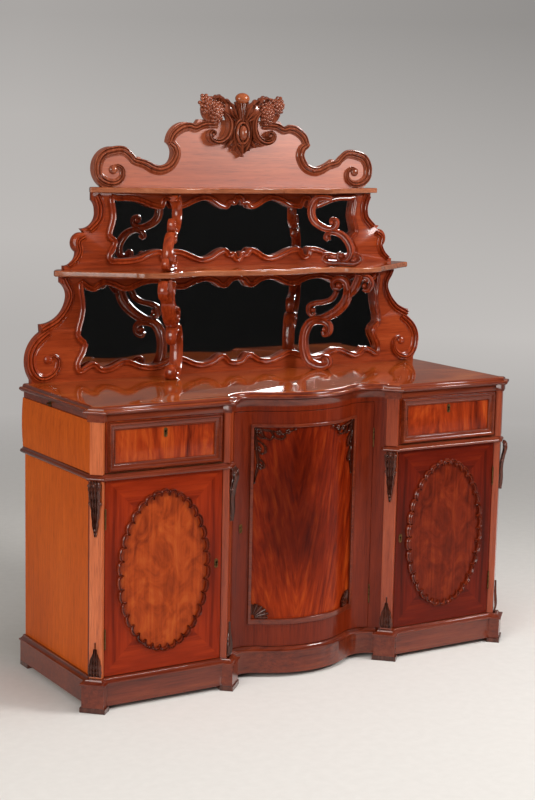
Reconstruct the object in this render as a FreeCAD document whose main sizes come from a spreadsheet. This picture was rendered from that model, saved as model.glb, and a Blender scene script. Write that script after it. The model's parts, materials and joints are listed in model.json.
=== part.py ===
import FreeCAD, Part
import math
import os
import re

# A sideboard with a shelved, mirrored upper part, in millimetres.
# The origin is on the floor at the middle of the plan, X runs along the front from left to right,
# the front faces -Y and Z is up. Distances called "front" are measured forward from the origin.

os.makedirs("parts", exist_ok=True)
Vector = FreeCAD.Vector
UP = Vector(0, 0, 1)
DIAGONAL = math.sqrt(0.5)
doc = FreeCAD.newDocument("Sideboard")

# Driving sizes, one group for each part of the object.
SIZES = {
    # The carcase: two pedestals that flank a bay, on the plain planes of their boards.
    "case_half": 802.0,
    "bay_half": 320.0,
    "case_front": 245.0,
    "back_plane": 296.0,
    "side_thick": 20.0,
    "back_thick": 10.0,
    "case_top": 944.0,
    "post_depth": 55.0,
    "shelf_level": 420.0,
    "shelf_thick": 16.0,
    "shelf_setback": 70.0,
    # The bay front, a bow between two hollows, on the face of its plinth.
    "bow_front": 266.2,
    "bow_radius": 310.0,
    "hollow_radius": 95.0,
    "hollow_inset": 88.0,
    "bay_face_setback": 13.0,
    "stile_wide": 39.0,
    "bay_lining": 45.0,
    # Feet and plinth.
    "foot_height": 15.0,
    "foot_block": 84.0,
    "foot_stand": 29.6,
    "foot_square": 60.0,
    "plinth_proud": 19.4,
    "plinth_top": 88.0,
    "plinth_block": 74.0,
    "plinth_stand": 26.5,
    "lip_proud": 5.6,
    "lip_height": 5.0,
    "base_level": 104.0,
    "base_proud": 9.0,
    # Pilasters and the carvings on them.
    "pilaster_wide": 42.0,
    "pilaster_stand": 1.0,
    "corbel_drop": 175.0,
    "corbel_proud": 30.0,
    "leaf_low": 112.0,
    "leaf_tall": 113.0,
    "leaf_proud": 12.0,
    # The half round moulding between doors and drawers.
    "waist_low": 736.0,
    "waist_high": 756.0,
    "waist_proud": 18.6,
    "waist_round": 6.5,
    "waist_block": 58.0,
    "waist_stand": 8.9,
    # The neck under the top, with the pilasters' capitals, and the pulvinated side friezes.
    "neck_low": 921.0,
    "neck_proud": 4.0,
    "capital_block": 54.6,
    "capital_stand": 7.0,
    "frieze_proud": 12.0,
    "frieze_edge": 8.0,
    "bay_neck_proud": 8.0,
    "bay_rail_low": 905.5,
    # The table top.
    "top_level": 968.0,
    "top_proud": 21.5,
    "top_block": 76.0,
    "top_stand": 19.1,
    "top_round": 6.0,
    "top_fillet": 2.0,
    "top_quirk": 9.0,
    # Side doors.
    "door_thick": 20.0,
    "door_gap": 1.3,
    "oval_side": 44.3,
    "oval_half_tall": 264.0,
    "oval_level": 426.0,
    "oval_band": 26.0,
    "oval_proud": 12.0,
    "oval_inset": 9.0,
    # The bay door.
    "bay_door_high": 904.0,
    "panel_side": 81.0,
    "panel_low": 200.0,
    "panel_high": 851.0,
    "panel_sunk": 4.0,
    "bead_wide": 11.0,
    "bead_proud": 6.0,
    "sill_bead": 19.0,
    "spandrel_wide": 130.0,
    "spandrel_tall": 190.0,
    "palmette_wide": 60.0,
    "palmette_tall": 52.0,
    "carving_proud": 8.0,
    # Drawers.
    "drawer_front_thick": 22.0,
    "drawer_gap": 1.5,
    "frame_side": 7.8,
    "frame_low": 760.0,
    "frame_high": 917.0,
    "frame_wide": 27.0,
    "frame_proud": 9.0,
    "box_side": 12.0,
    "box_bottom": 8.0,
    "box_gap": 1.0,
    "box_clear": 0.5,
    "box_drop": 20.0,
    "box_back": 262.0,
    "guide_height": 20.0,
    # Locks: brass cases with a sliding bolt, on the inner faces of doors and drawers.
    "lock_long": 60.0,
    "lock_wide": 36.0,
    "drawer_lock_tall": 56.0,
    "lock_deep": 11.0,
    "bolt_wide": 20.0,
    "bolt_thick": 5.0,
    "bolt_long": 28.0,
    "bolt_clear": 0.3,
    "strike_deep": 10.0,
    "strike_clear": 1.5,
    "bay_lock_level": 512.0,
    "bay_lock_front": 157.0,
    "bay_key_inset": 38.7,
    "lock_inset": 2.0,
    "key_high": 31.0,
    "key_wide": 13.0,
    "key_thick": 1.0,
    "door_key_inset": 19.0,
    "drawer_key_level": 872.0,
    # Hinges.
    "pin_radius": 1.5,
    "knuckle_radius": 2.5,
    "knuckle_long": 22.0,
    "hinge_fit": 0.05,
    "pin_proud": 2.8,
    "pin_inset": 0.5,
    "leaf_thick": 0.5,
    "leaf_wide": 18.0,
    "hinge_inset": 90.0,
    "bay_hinge_front": 191.4,
    # The lower tier: a shaped board with a mirror, and the shelf over it.
    "board_front": 272.0,
    "face_thick": 14.0,
    "glass_thick": 4.0,
    "lower_shelf_low": 1325.0,
    "lower_shelf_high": 1345.0,
    "lower_reach": 806.0,
    "lower_glass_half": 640.0,
    "lower_glass_low": 990.0,
    "lower_glass_high": 1308.0,
    "lower_window_half": 612.0,
    "lower_window_low": 1006.0,
    "lower_window_high": 1292.0,
    "wave_deep": 40.0,
    "lower_shelf_reach": 722.0,
    "lower_shelf_deep": 246.0,
    # The upper tier and its shelf.
    "upper_shelf_low": 1600.0,
    "upper_shelf_high": 1618.0,
    "upper_reach": 670.0,
    "upper_glass_half": 520.0,
    "upper_glass_low": 1359.0,
    "upper_glass_high": 1590.0,
    "upper_window_half": 496.0,
    "upper_window_low": 1375.0,
    "upper_window_high": 1574.0,
    "upper_shelf_reach": 585.0,
    "upper_shelf_deep": 140.0,
    "frame_band": 20.0,
    "frame_stand": 11.0,
    "edge_band": 34.0,
    "edge_stand": 9.0,
    # The crest.
    "crest_high": 1850.0,
    "crest_reach": 566.0,
    "carving_stand": 30.0,
    "cartouche_drop": 139.0,
    "finial_high": 1945.0,
    "cabochon_level": 1805.0,
    "cabochon_wide": 18.6,
    "cabochon_tall": 28.8,
    "bud_level": 1914.0,
    "bud_wide": 26.0,
    "bud_tall": 17.0,
    "pearl_radius": 13.0,
    "pearl_tall": 12.0,
    "grape_radius": 17.0,
    "grape_rim": 5.0,
    "grape_reach": 112.0,
    "grape_level": 1900.0,
    # Scrolled brackets, in upright planes splayed outward to the front.
    "bracket_foot_x": 300.0,
    "bracket_foot_front": -190.0,
    "bracket_splay": 40.0,
    "bracket_thick": 45.0,
    # Small gap left where one moulding is fitted against another.
    "fit_gap": 0.3,
    # Brass hook on the left side.
    "hook_front": -83.0,
    "hook_level": 932.0,
    "hook_plate_wide": 16.0,
    "hook_plate_tall": 20.0,
    "hook_plate_thick": 2.0,
    "hook_post": 3.0,
    "hook_reach": 12.0,
    # One overrun serves every cut.
    "overrun": 5.0,
}

sheet = doc.addObject("Spreadsheet::Sheet", "Sizes")
for row, (name, value) in enumerate(SIZES.items(), start=1):
    sheet.set("A%d" % row, name)
    sheet.set("B%d" % row, str(value))
    sheet.setAlias("B%d" % row, name)
doc.recompute()


class Size:
    """Every driving size, read back from the sheet."""


for name in SIZES:
    setattr(Size, name, float(sheet.get(name)))

# Places that follow the sizes above, as text for the sheet and as numbers.
LEG_TEXT = "pilaster_wide * sqrt(0.5)"
WORKED_OUT = {
    "stile_inner": "(bay_half - stile_wide)",
    "panel_half": "(bay_half - stile_wide - panel_side)",
}
LEG = Size.pilaster_wide * DIAGONAL
Size.stile_inner = Size.bay_half - Size.stile_wide
Size.panel_half = Size.stile_inner - Size.panel_side
Size.hollow_place = Size.bay_half - Size.hollow_inset
OPENING_HALF = (Size.case_half - Size.bay_half) / 2 - LEG
Size.oval_half_wide = OPENING_HALF - Size.oval_side
Size.frame_half = OPENING_HALF - Size.frame_side

PARTS = []
# A rise under this share of its chord is drawn straight.
STRAIGHT_SHARE = 0.004


# Tools for boards, prisms, mouldings and groups.
def bound(text):
    """An expression in which every named size points into the sheet."""
    for name, formula in WORKED_OUT.items():
        text = re.sub(r"\b%s\b" % name, formula, text)
    return re.sub(r"\b[a-z][a-z_]+\b(?!\()", lambda found: "Sizes." + found.group(0), text)


def place(item, x="0", y="0", z="0"):
    """Bind a position to the sheet."""
    for axis, text in zip("xyz", (x, y, z)):
        item.setExpression("Placement.Base." + axis, bound(text))
    return item


def part(item, label):
    """Name a finished sub-part: its label is the name of its file."""
    item.Label = label
    PARTS.append(item)
    return item


def board(name, x, y, z, length, width, height):
    """A plain board with its low corner at x, y, z."""
    box = doc.addObject("Part::Box", name)
    for prop, text in (("Length", length), ("Width", width), ("Height", height)):
        box.setExpression(prop, bound(text))
    return place(box, x, y, z)


def group(name, pieces):
    """Separate solids that share one sub-part."""
    item = doc.addObject("Part::Compound", name)
    item.Links = pieces
    return item


def fused(name, pieces):
    """Pieces glued into one solid."""
    item = doc.addObject("Part::MultiFuse", name)
    item.Shapes = pieces
    return item


def cut(name, base, tool):
    """A piece with another piece's form taken out of it."""
    item = doc.addObject("Part::Cut", name)
    item.Base = base
    item.Tool = tool
    return item


def mirrored(name, piece):
    """The same piece on the other side of the middle plane."""
    item = doc.addObject("Part::Mirroring", name)
    item.Source = piece
    item.Normal = Vector(1, 0, 0)
    return item


def pair(name, piece):
    """A piece and its mirror image."""
    return group(name, [mirrored(name + "Left", piece), piece])


def chain(points):
    """Straight edges from each point to the next."""
    return [Part.LineSegment(start, end) for start, end in zip(points, points[1:])]


def closed(points):
    """Straight edges round a closed outline."""
    return chain(points + points[:1])


def smooth(points):
    """A smooth curve through points."""
    curve = Part.BSplineCurve()
    curve.interpolate(points)
    return curve


def bow(start, middle, end):
    """An arc through three points, or a straight edge where they are in line."""
    chord = end - start
    if abs(chord.cross(middle - start).z) < chord.Length ** 2 * STRAIGHT_SHARE:
        return Part.LineSegment(start, end)
    return Part.Arc(start, middle, end)


def flowing(points):
    """Arcs that follow a smooth line through points, two from each point to the next."""
    line = smooth(points)
    places = [line.parameter(point) for point in points]
    edges = []
    for start, end in zip(places, places[1:]):
        middle = (start + end) / 2
        for low, high in ((start, middle), (middle, end)):
            edges.append(bow(line.value(low), line.value((low + high) / 2), line.value(high)))
    return edges


def prism(name, plane, edges, depth, x="0", y="0", z="0"):
    """A padded sketch: XY pads upward, XZ pads to the front and YZ pads to the right."""
    body = doc.addObject("PartDesign::Body", name)
    sketch = body.newObject("Sketcher::SketchObject", name + "Outline")
    base = [item for item in body.Origin.OriginFeatures if item.Role == plane + "_Plane"][0]
    sketch.AttachmentSupport = (base, [""])
    sketch.MapMode = "FlatFace"
    sketch.addGeometry(edges, False)
    pad = body.newObject("PartDesign::Pad", name + "Pad")
    pad.Profile = sketch
    pad.setExpression("Length", bound(depth))
    body.Tip = pad
    return place(body, x, y, z)


def sketch_at(name, origin, outward, edges):
    """A free sketch: its first axis points outward and its second axis points up."""
    item = doc.addObject("Sketcher::SketchObject", name)
    item.addGeometry(edges, False)
    turn = FreeCAD.Rotation(outward, UP, outward.cross(UP), "XYZ")
    item.Placement = FreeCAD.Placement(origin, turn)
    return item


def moulding(name, profile, path, outward):
    """A profile, drawn as (distance outward, height), swept along a path in plan."""
    spine = doc.addObject("Sketcher::SketchObject", name + "Path")
    spine.addGeometry(path, False)
    section = sketch_at(name + "Section", path[0].StartPoint, outward, profile)
    doc.recompute()
    item = doc.addObject("Part::Sweep", name)
    item.Sections = [section]
    item.Spine = (spine, ["Edge%d" % (count + 1) for count in range(len(path))])
    item.Solid = True
    item.Transition = "Right corner"
    return item


# Plan outlines of a pedestal: straight planes with a block set diagonally on each front corner.
def corner(plane, facing, offset, block, stand):
    """Plan of one corner block: facing is 1 at the outer side and -1 at the bay."""
    leg = block * DIAGONAL
    near = (stand - block / 2) * DIAGONAL
    far = (stand + block / 2) * DIAGONAL
    front = Size.case_front
    return [
        Vector(plane + facing * offset, -(front + offset - leg), 0),
        Vector(plane + facing * far, -(front + near), 0),
        Vector(plane + facing * near, -(front + far), 0),
        Vector(plane + facing * (offset - leg), -(front + offset), 0),
    ]


def pedestal_plan(offset, block, stand, bay_end):
    """Plan points of the right pedestal, from the back of its outer side to bay_end."""
    outer = corner(Size.case_half, 1, offset, block, stand)
    inner = corner(Size.bay_half, -1, offset, block, stand)
    start = Vector(Size.case_half + offset, Size.back_plane, 0)
    end = Vector(Size.bay_half - offset, bay_end, 0)
    return [start] + outer + inner[::-1] + [end]


def wrap(tip, block, stand, bay_end):
    """Plan path on the case planes for a moulding whose block is given at its tip."""
    return pedestal_plan(0, block - 2 * tip, stand - tip, bay_end)


# Plan curves of the bay: arcs about the same centres at every depth behind the plinth face.
BOW_CENTRE = Size.bow_front - Size.bow_radius
REACH = Size.bow_radius + Size.hollow_radius
HOLLOW_CENTRE = BOW_CENTRE + math.sqrt(REACH ** 2 - Size.hollow_place ** 2)


def hollow_point(depth, x):
    """A plan point of the right-hand hollow."""
    radius = Size.hollow_radius + depth
    front = HOLLOW_CENTRE - math.sqrt(radius ** 2 - (x - Size.hollow_place) ** 2)
    return Vector(x, -front, 0)


def joint_point(depth):
    """Where the bow runs into the right-hand hollow."""
    share = (Size.bow_radius - depth) / REACH
    x = Size.hollow_place * share
    front = BOW_CENTRE + (HOLLOW_CENTRE - BOW_CENTRE) * share
    return Vector(x, -front, 0)


def flipped(place_in_plan):
    """The same plan point on the left."""
    return Vector(-place_in_plan.x, place_in_plan.y, 0)


def bay_curve(depth, reach):
    """Arcs of the bay front from left to right."""
    end = hollow_point(depth, reach)
    joint = joint_point(depth)
    middle = hollow_point(depth, (end.x + joint.x) / 2)
    crown = Vector(0, -(Size.bow_front - depth), 0)
    return [
        Part.Arc(flipped(end), flipped(middle), flipped(joint)),
        Part.Arc(flipped(joint), crown, joint),
        Part.Arc(joint, middle, end),
    ]


def bay_back(depth, reach):
    """The same arcs from right to left."""
    end = hollow_point(depth, reach)
    joint = joint_point(depth)
    middle = hollow_point(depth, (end.x + joint.x) / 2)
    crown = Vector(0, -(Size.bow_front - depth), 0)
    return [
        Part.Arc(end, middle, joint),
        Part.Arc(joint, crown, flipped(joint)),
        Part.Arc(flipped(joint), flipped(middle), flipped(end)),
    ]


def bay_band(front_depth, back_depth, reach):
    """Outline of a board that follows the bay front, cut square at both ends."""
    front = bay_curve(front_depth, reach)
    back = bay_back(back_depth, reach)
    right = Part.LineSegment(front[-1].EndPoint, back[0].StartPoint)
    left = Part.LineSegment(back[-1].EndPoint, front[0].StartPoint)
    return front + [right] + back + [left]


def bay_floor(depth, reach, back):
    """Outline of a board that fills the bay behind its front curve."""
    front = bay_curve(depth, reach)
    sides = [front[-1].EndPoint, Vector(reach, back, 0), Vector(-reach, back, 0), front[0].StartPoint]
    return front + chain(sides)


def bay_outward(depth, reach):
    """The level direction square to the bay front at its left end."""
    end = hollow_point(depth, reach)
    radius = Size.hollow_radius + depth
    away = Vector(-Size.hollow_place - flipped(end).x, -HOLLOW_CENTRE - end.y, 0)
    return away * (1 / radius)


# Sides, posts, floors and backs of the case.
right_outer_side = board(
    "RightOuterSide",
    "case_half - side_thick", "post_depth - case_front", "foot_height",
    "side_thick", "back_plane + case_front - post_depth", "case_top - foot_height",
)
part(right_outer_side, "right_outer_side")
part(mirrored("LeftOuterSide", right_outer_side), "left_outer_side")

right_inner_side = board(
    "RightInnerSide",
    "bay_half", "post_depth - case_front", "foot_height",
    "side_thick", "back_plane + case_front - post_depth", "case_top - foot_height",
)
part(right_inner_side, "right_inner_side")
part(mirrored("LeftInnerSide", right_inner_side), "left_inner_side")

POST_BACK = -(Size.case_front - Size.post_depth)
OUTER_OPENING = Size.case_half - LEG
INNER_OPENING = Size.bay_half + LEG


def post_outline(plane, facing):
    """Plan of a corner post whose canted face carries a pilaster."""
    front = -Size.case_front
    return closed([
        Vector(plane, POST_BACK, 0),
        Vector(plane, front + LEG, 0),
        Vector(plane - facing * LEG, front, 0),
        Vector(plane - facing * LEG, POST_BACK, 0),
    ])


def strike(name, x, y, z, length, width, height):
    """The room that a lock's bolt slides into."""
    return board(name, x, y, z, length, width, height)


post_tall = "case_top - foot_height"
outer_post = prism("OuterPost", "XY", post_outline(Size.case_half, 1), post_tall, z="foot_height")
inner_blank = prism("InnerPostBlank", "XY", post_outline(Size.bay_half, -1), post_tall, z="foot_height")
door_strike = strike(
    "DoorStrike",
    "bay_half + pilaster_wide * sqrt(0.5) - strike_deep",
    "door_thick - case_front + lock_deep / 2 - bolt_thick / 2 - strike_clear",
    "oval_level - bolt_wide / 2 - strike_clear",
    "strike_deep + overrun", "bolt_thick + 2 * strike_clear", "bolt_wide + 2 * strike_clear",
)
inner_post = cut("InnerPost", inner_blank, door_strike)
posts = group("CornerPosts", [
    outer_post, inner_post, mirrored("OuterPostLeft", outer_post), mirrored("InnerPostLeft", inner_post),
])
part(posts, "corner_posts")


def floor_outline(back):
    """Plan of a board between the sides of a pedestal, notched round its posts."""
    inner = Size.bay_half + Size.side_thick
    outer = Size.case_half - Size.side_thick
    return closed([
        Vector(INNER_OPENING, -Size.case_front, 0),
        Vector(OUTER_OPENING, -Size.case_front, 0),
        Vector(OUTER_OPENING, POST_BACK, 0),
        Vector(outer, POST_BACK, 0),
        Vector(outer, back, 0),
        Vector(inner, back, 0),
        Vector(inner, POST_BACK, 0),
        Vector(INNER_OPENING, POST_BACK, 0),
    ])


PANEL_FACE = Size.back_plane - Size.back_thick
floor_edges = floor_outline(PANEL_FACE)
bottom_thick = "base_level - plinth_top + lip_proud"
bottom_low = "plinth_top - lip_proud"
right_bottom = prism("RightBottom", "XY", floor_edges, bottom_thick, z=bottom_low)
bay_inner = Size.bay_half - Size.plinth_proud
bay_bottom_front = prism(
    "BayBottomFront", "XY", bay_floor(Size.plinth_proud, bay_inner, PANEL_FACE), bottom_thick, z=bottom_low,
)
bay_bottom_back = board(
    "BayBottomBack",
    "-bay_half", "post_depth - case_front", bottom_low,
    "2 * bay_half", "back_plane - back_thick + case_front - post_depth", bottom_thick,
)
bay_bottom = fused("BayBottom", [bay_bottom_front, bay_bottom_back])

dust_board = prism("RightDustBoard", "XY", floor_edges, "waist_high - waist_low", z="waist_low")
part(pair("DustBoards", dust_board), "dust_boards")

side_shelf = board(
    "SideShelf",
    "bay_half + side_thick", "shelf_setback - case_front", "shelf_level",
    "case_half - bay_half - 2 * side_thick", "back_plane - back_thick + case_front - shelf_setback", "shelf_thick",
)
bay_shelf = board(
    "BayShelf",
    "-bay_half", "shelf_setback + post_depth - case_front", "shelf_level",
    "2 * bay_half", "back_plane - back_thick + case_front - shelf_setback - post_depth", "shelf_thick",
)
part(group("CupboardShelves", [mirrored("LeftShelf", side_shelf), bay_shelf, side_shelf]), "cupboard_shelves")

side_back = board(
    "SideBack",
    "bay_half + side_thick", "back_plane - back_thick", "foot_height",
    "case_half - bay_half - 2 * side_thick", "back_thick", "case_top - foot_height",
)
bay_back_panel = board(
    "BayBackPanel",
    "-bay_half", "back_plane - back_thick", "foot_height",
    "2 * bay_half", "back_thick", "case_top - foot_height",
)
part(group("BackPanels", [mirrored("LeftBack", side_back), bay_back_panel, side_back]), "back_panels")

rail_blank = board(
    "TopRailBlank",
    "bay_half + pilaster_wide * sqrt(0.5)", "-case_front", "neck_low",
    "case_half - bay_half - 2 * pilaster_wide * sqrt(0.5)", "post_depth", "case_top - neck_low",
)
drawer_strike = strike(
    "DrawerStrike",
    "(case_half + bay_half) / 2 - bolt_wide / 2 - strike_clear",
    "drawer_front_thick - case_front + lock_deep / 2 - bolt_thick / 2 - strike_clear",
    "neck_low - overrun",
    "bolt_wide + 2 * strike_clear", "bolt_thick + 2 * strike_clear", "strike_deep + overrun",
)
part(pair("TopRails", cut("TopRail", rail_blank, drawer_strike)), "top_rails")

# Feet: a pad under each corner block and a plain block at each back corner.


def pad_outline(points, plane, facing):
    """Plan of the pad under a corner block."""
    front = -Size.case_front
    return closed([
        points[0], points[1], points[2], points[3],
        Vector(plane - facing * LEG, front + LEG, 0),
    ])


outer_corner = corner(Size.case_half, 1, Size.plinth_proud, Size.foot_block, Size.foot_stand)
inner_corner = corner(Size.bay_half, -1, Size.plinth_proud, Size.foot_block, Size.foot_stand)
outer_pad = prism("OuterPad", "XY", pad_outline(outer_corner, Size.case_half, 1), "foot_height")
inner_pad = prism("InnerPad", "XY", pad_outline(inner_corner, Size.bay_half, -1), "foot_height")
outer_heel = board(
    "OuterHeel",
    "case_half + plinth_proud - foot_square", "back_plane - foot_square", "0",
    "foot_square", "foot_square", "foot_height",
)
inner_heel = board(
    "InnerHeel",
    "bay_half", "back_plane - foot_square", "0",
    "foot_square", "foot_square", "foot_height",
)
right_feet = [outer_pad, inner_pad, outer_heel, inner_heel]
left_feet = [mirrored("Foot%d" % count, foot) for count, foot in enumerate(right_feet)]
part(group("Feet", right_feet + left_feet), "feet")


# Plinth, waist moulding, neck and top, each a profile run round the pedestals.
def plinth_profile():
    """Board, lip and ogee of the plinth."""
    face = Size.plinth_proud
    tip = face + Size.lip_proud
    lip = Size.plinth_top + Size.lip_height
    start = Vector(tip, lip, 0)
    end = Vector(Size.base_proud, Size.base_level, 0)
    hollow = Vector(end.x + (tip - end.x) / 3, lip + (end.y - lip) / 4, 0)
    rise = [
        Vector(0, Size.foot_height, 0),
        Vector(face, Size.foot_height, 0),
        Vector(face, Size.plinth_top, 0),
        Vector(tip, Size.plinth_top, 0),
        start,
    ]
    back = [end, Vector(0, Size.base_level, 0), rise[0]]
    return chain(rise) + [Part.Arc(start, hollow, end)] + chain(back)


BEHIND_BLOCK = -(Size.case_front - Size.plinth_block * DIAGONAL)
plinth_path = chain(wrap(Size.plinth_proud, Size.plinth_block, Size.plinth_stand, BEHIND_BLOCK + 2 * Size.plinth_proud))
pedestal_plinth = moulding("PedestalPlinth", plinth_profile(), plinth_path, Vector(1, 0, 0))
part(pair("PedestalPlinths", pedestal_plinth), "pedestal_plinths")

face_plan = pedestal_plan(Size.plinth_proud, Size.plinth_block, Size.plinth_stand, Size.back_plane)
plinth_core = prism("PlinthCore", "XY", closed(face_plan), "base_level")
bay_run = bay_curve(Size.plinth_proud, Size.bay_half)
bay_plinth = moulding(
    "BayPlinthRun", plinth_profile(), bay_run, bay_outward(Size.plinth_proud, Size.bay_half),
)
lip_edge = Size.lip_proud + Size.fit_gap
lip_block = Size.plinth_block + 2 * lip_edge
lip_stand = Size.plinth_stand + lip_edge
lip_plan = pedestal_plan(Size.plinth_proud + lip_edge, lip_block, lip_stand, Size.back_plane)
lip_core = prism("LipCore", "XY", closed(lip_plan), "lip_height + fit_gap", z="plinth_top")
core_pair = pair("PlinthCores", fused("PlinthWhole", [plinth_core, lip_core, pedestal_plinth]))
centre_plinth = part(cut("CentrePlinth", bay_plinth, core_pair), "centre_plinth")
plinths = group("PlinthRuns", [pair("PlinthReturns", pedestal_plinth), centre_plinth])
bay_bottom = cut("BayBottomFitted", bay_bottom, plinths)
bottoms = group("CupboardBottoms", [mirrored("LeftBottom", right_bottom), bay_bottom, right_bottom])
part(bottoms, "cupboard_bottoms")


def waist_profile():
    """A half round on a flat."""
    low = Size.waist_low
    tip = Vector(Size.waist_proud, low + Size.waist_round, 0)
    under = Vector(tip.x - Size.waist_round, low, 0)
    over = Vector(under.x, low + 2 * Size.waist_round, 0)
    crown = Vector(Size.waist_round, Size.waist_high, 0)
    foot = Vector(0, low, 0)
    return chain([foot, under]) + [Part.Arc(under, tip, over)] + chain([over, crown, Vector(0, Size.waist_high, 0), foot])


waist_path = chain(wrap(Size.waist_proud, Size.waist_block, Size.waist_stand, POST_BACK))
waist_run = moulding("WaistRun", waist_profile(), waist_path, Vector(1, 0, 0))
bay_core = prism(
    "BayCore", "XY", bay_floor(Size.bay_face_setback, Size.bay_half, Size.back_plane), "case_top",
)
part(pair("WaistMouldings", cut("WaistMoulding", waist_run, bay_core)), "waist_mouldings")

neck_profile = closed([
    Vector(0, Size.neck_low, 0),
    Vector(Size.neck_proud, Size.neck_low, 0),
    Vector(Size.neck_proud, Size.case_top, 0),
    Vector(0, Size.case_top, 0),
])
neck_path = chain(wrap(Size.neck_proud, Size.capital_block, Size.capital_stand, POST_BACK))
neck_run = moulding("NeckRun", neck_profile, neck_path, Vector(1, 0, 0))
neck = cut("Neck", neck_run, bay_core)

bay_neck_profile = [
    Part.Arc(
        Vector(0, Size.neck_low, 0),
        Vector(Size.bay_neck_proud / 4, (Size.neck_low + Size.case_top) / 2, 0),
        Vector(Size.bay_neck_proud, Size.case_top, 0),
    ),
] + chain([
    Vector(Size.bay_neck_proud, Size.case_top, 0),
    Vector(0, Size.case_top, 0),
    Vector(0, Size.neck_low, 0),
])
setback = Size.bay_face_setback
bay_neck_run = moulding(
    "BayNeckRun", bay_neck_profile, bay_curve(setback, Size.bay_half), bay_outward(setback, Size.bay_half),
)
neck_plan = pedestal_plan(Size.neck_proud, Size.capital_block, Size.capital_stand, Size.back_plane)
neck_core = prism("NeckCore", "XY", closed(neck_plan), "case_top")
bay_neck = cut("BayNeck", bay_neck_run, pair("NeckCores", neck_core))
part(group("FriezeMouldings", [mirrored("NeckLeft", neck), bay_neck, neck]), "frieze_mouldings")


def top_profile(low):
    """A torus nose under a rounded upper member."""
    tip = Size.top_proud
    nose = tip - Size.top_round
    under = low + Size.top_fillet
    over = under + 2 * Size.top_round
    quirk = Vector(Size.top_quirk, over, 0)
    rim = Vector(0, Size.top_level, 0)
    rise = Vector(Size.top_quirk * DIAGONAL, over + (Size.top_level - over) * DIAGONAL, 0)
    foot = Vector(0, low, 0)
    return (
        chain([foot, Vector(nose, low, 0), Vector(nose, under, 0)])
        + [Part.Arc(Vector(nose, under, 0), Vector(tip, under + Size.top_round, 0), Vector(nose, over, 0))]
        + chain([Vector(nose, over, 0), quirk])
        + [Part.Arc(quirk, rise, rim)]
        + chain([rim, foot])
    )


top_thick = "top_level - case_top"
top_path = wrap(Size.top_proud, Size.top_block, Size.top_stand, Size.back_plane)
side_run = top_path[:-1] + [Vector(top_path[-1].x, POST_BACK, 0)]
top_edge = moulding("TopEdge", top_profile(Size.case_top), chain(side_run), Vector(1, 0, 0))
top_slab = prism("TopSlab", "XY", closed(top_path), top_thick, z="case_top")
top_setback = Size.top_proud
bay_edge = moulding(
    "BayTopEdge", top_profile(Size.case_top), bay_curve(top_setback, Size.bay_half),
    bay_outward(top_setback, Size.bay_half),
)
bay_slab = prism(
    "BayTopSlab", "XY", bay_floor(top_setback, Size.bay_half, Size.back_plane), top_thick, z="case_top",
)
top_pieces = [
    top_slab, mirrored("TopSlabLeft", top_slab), top_edge, mirrored("TopEdgeLeft", top_edge), bay_slab, bay_edge,
]
part(fused("TableTop", top_pieces), "table_top")

# The bay's own woodwork: stiles beside the door and a rail over it, both bowed in plan.
stile_core = prism(
    "StileCore", "XY",
    closed(pedestal_plan(0, Size.pilaster_wide, Size.pilaster_stand, Size.back_plane)), "case_top",
)
stile_cores = pair("StileCores", stile_core)
rail_depth = Size.bay_face_setback + Size.bay_lining
stile_blank = prism(
    "StileBlank", "XY", bay_band(Size.bay_face_setback, rail_depth, Size.bay_half),
    "bay_rail_low - base_level", z="base_level",
)
door_way = board(
    "DoorWay", "-stile_inner", "-bow_front", "0", "2 * stile_inner", "bow_front", "case_top",
)
stiles_whole = cut("StilesWhole", cut("StilesOpen", stile_blank, door_way), stile_cores)
bay_strike = strike(
    "BayStrike",
    "-stile_inner - strike_deep",
    "-bay_lock_front - bolt_thick / 2 - strike_clear",
    "bay_lock_level - bolt_wide / 2 - strike_clear",
    "strike_deep + overrun", "bolt_thick + 2 * strike_clear", "bolt_wide + 2 * strike_clear",
)
part(cut("CentreStiles", stiles_whole, bay_strike), "centre_stiles")

rail_blank_bay = prism(
    "BayRailBlank", "XY", bay_band(Size.bay_face_setback, rail_depth, Size.bay_half),
    "case_top - bay_rail_low", z="bay_rail_low",
)
part(cut("BayRail", rail_blank_bay, stile_cores), "centre_rail")

DOOR_LEFT = "bay_half + " + LEG_TEXT
OPENING_TEXT = "(case_half - bay_half - 2 * " + LEG_TEXT + ")"
MIDDLE_TEXT = "(case_half + bay_half) / 2"
MIDDLE = (Size.case_half + Size.bay_half) / 2


# Pilasters on the canted posts, and the carvings on their faces.
def shaft(name, plane, facing, low, tall):
    """One pilaster shaft between two levels."""
    edges = closed(corner(plane, facing, 0, Size.pilaster_wide, Size.pilaster_stand))
    return prism(name, "XY", edges, tall, z=low)


shafts = [
    shaft("OuterShaft", Size.case_half, 1, "base_level", "waist_low - base_level"),
    shaft("InnerShaft", Size.bay_half, -1, "base_level", "waist_low - base_level"),
    shaft("OuterDrawerShaft", Size.case_half, 1, "waist_high", "neck_low - waist_high"),
    shaft("InnerDrawerShaft", Size.bay_half, -1, "waist_high", "neck_low - waist_high"),
]
left_shafts = [mirrored("Shaft%d" % count, item) for count, item in enumerate(shafts)]
part(group("Pilasters", shafts + left_shafts), "pilasters")

# Side views of a corbel and of a leaf drop, as shares of (proud, tall) from the low end.
CORBEL_SHARES = [(0.3, 0.05), (0.42, 0.2), (0.34, 0.4), (0.5, 0.58), (0.86, 0.76), (1.0, 0.87), (0.7, 0.95)]
LEAF_SHARES = [(0.8, 0.03), (1.0, 0.14), (0.7, 0.35), (0.55, 0.62), (0.3, 0.9)]


def relief_edges(shares, proud, low, tall):
    """A carving's side view against an upright face."""
    points = [Vector(0, low, 0)]
    points += [Vector(proud * across, low + tall * up, 0) for across, up in shares]
    points += [Vector(0, low + tall, 0)]
    return flowing(points) + [Part.LineSegment(points[-1], points[0])]


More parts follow.
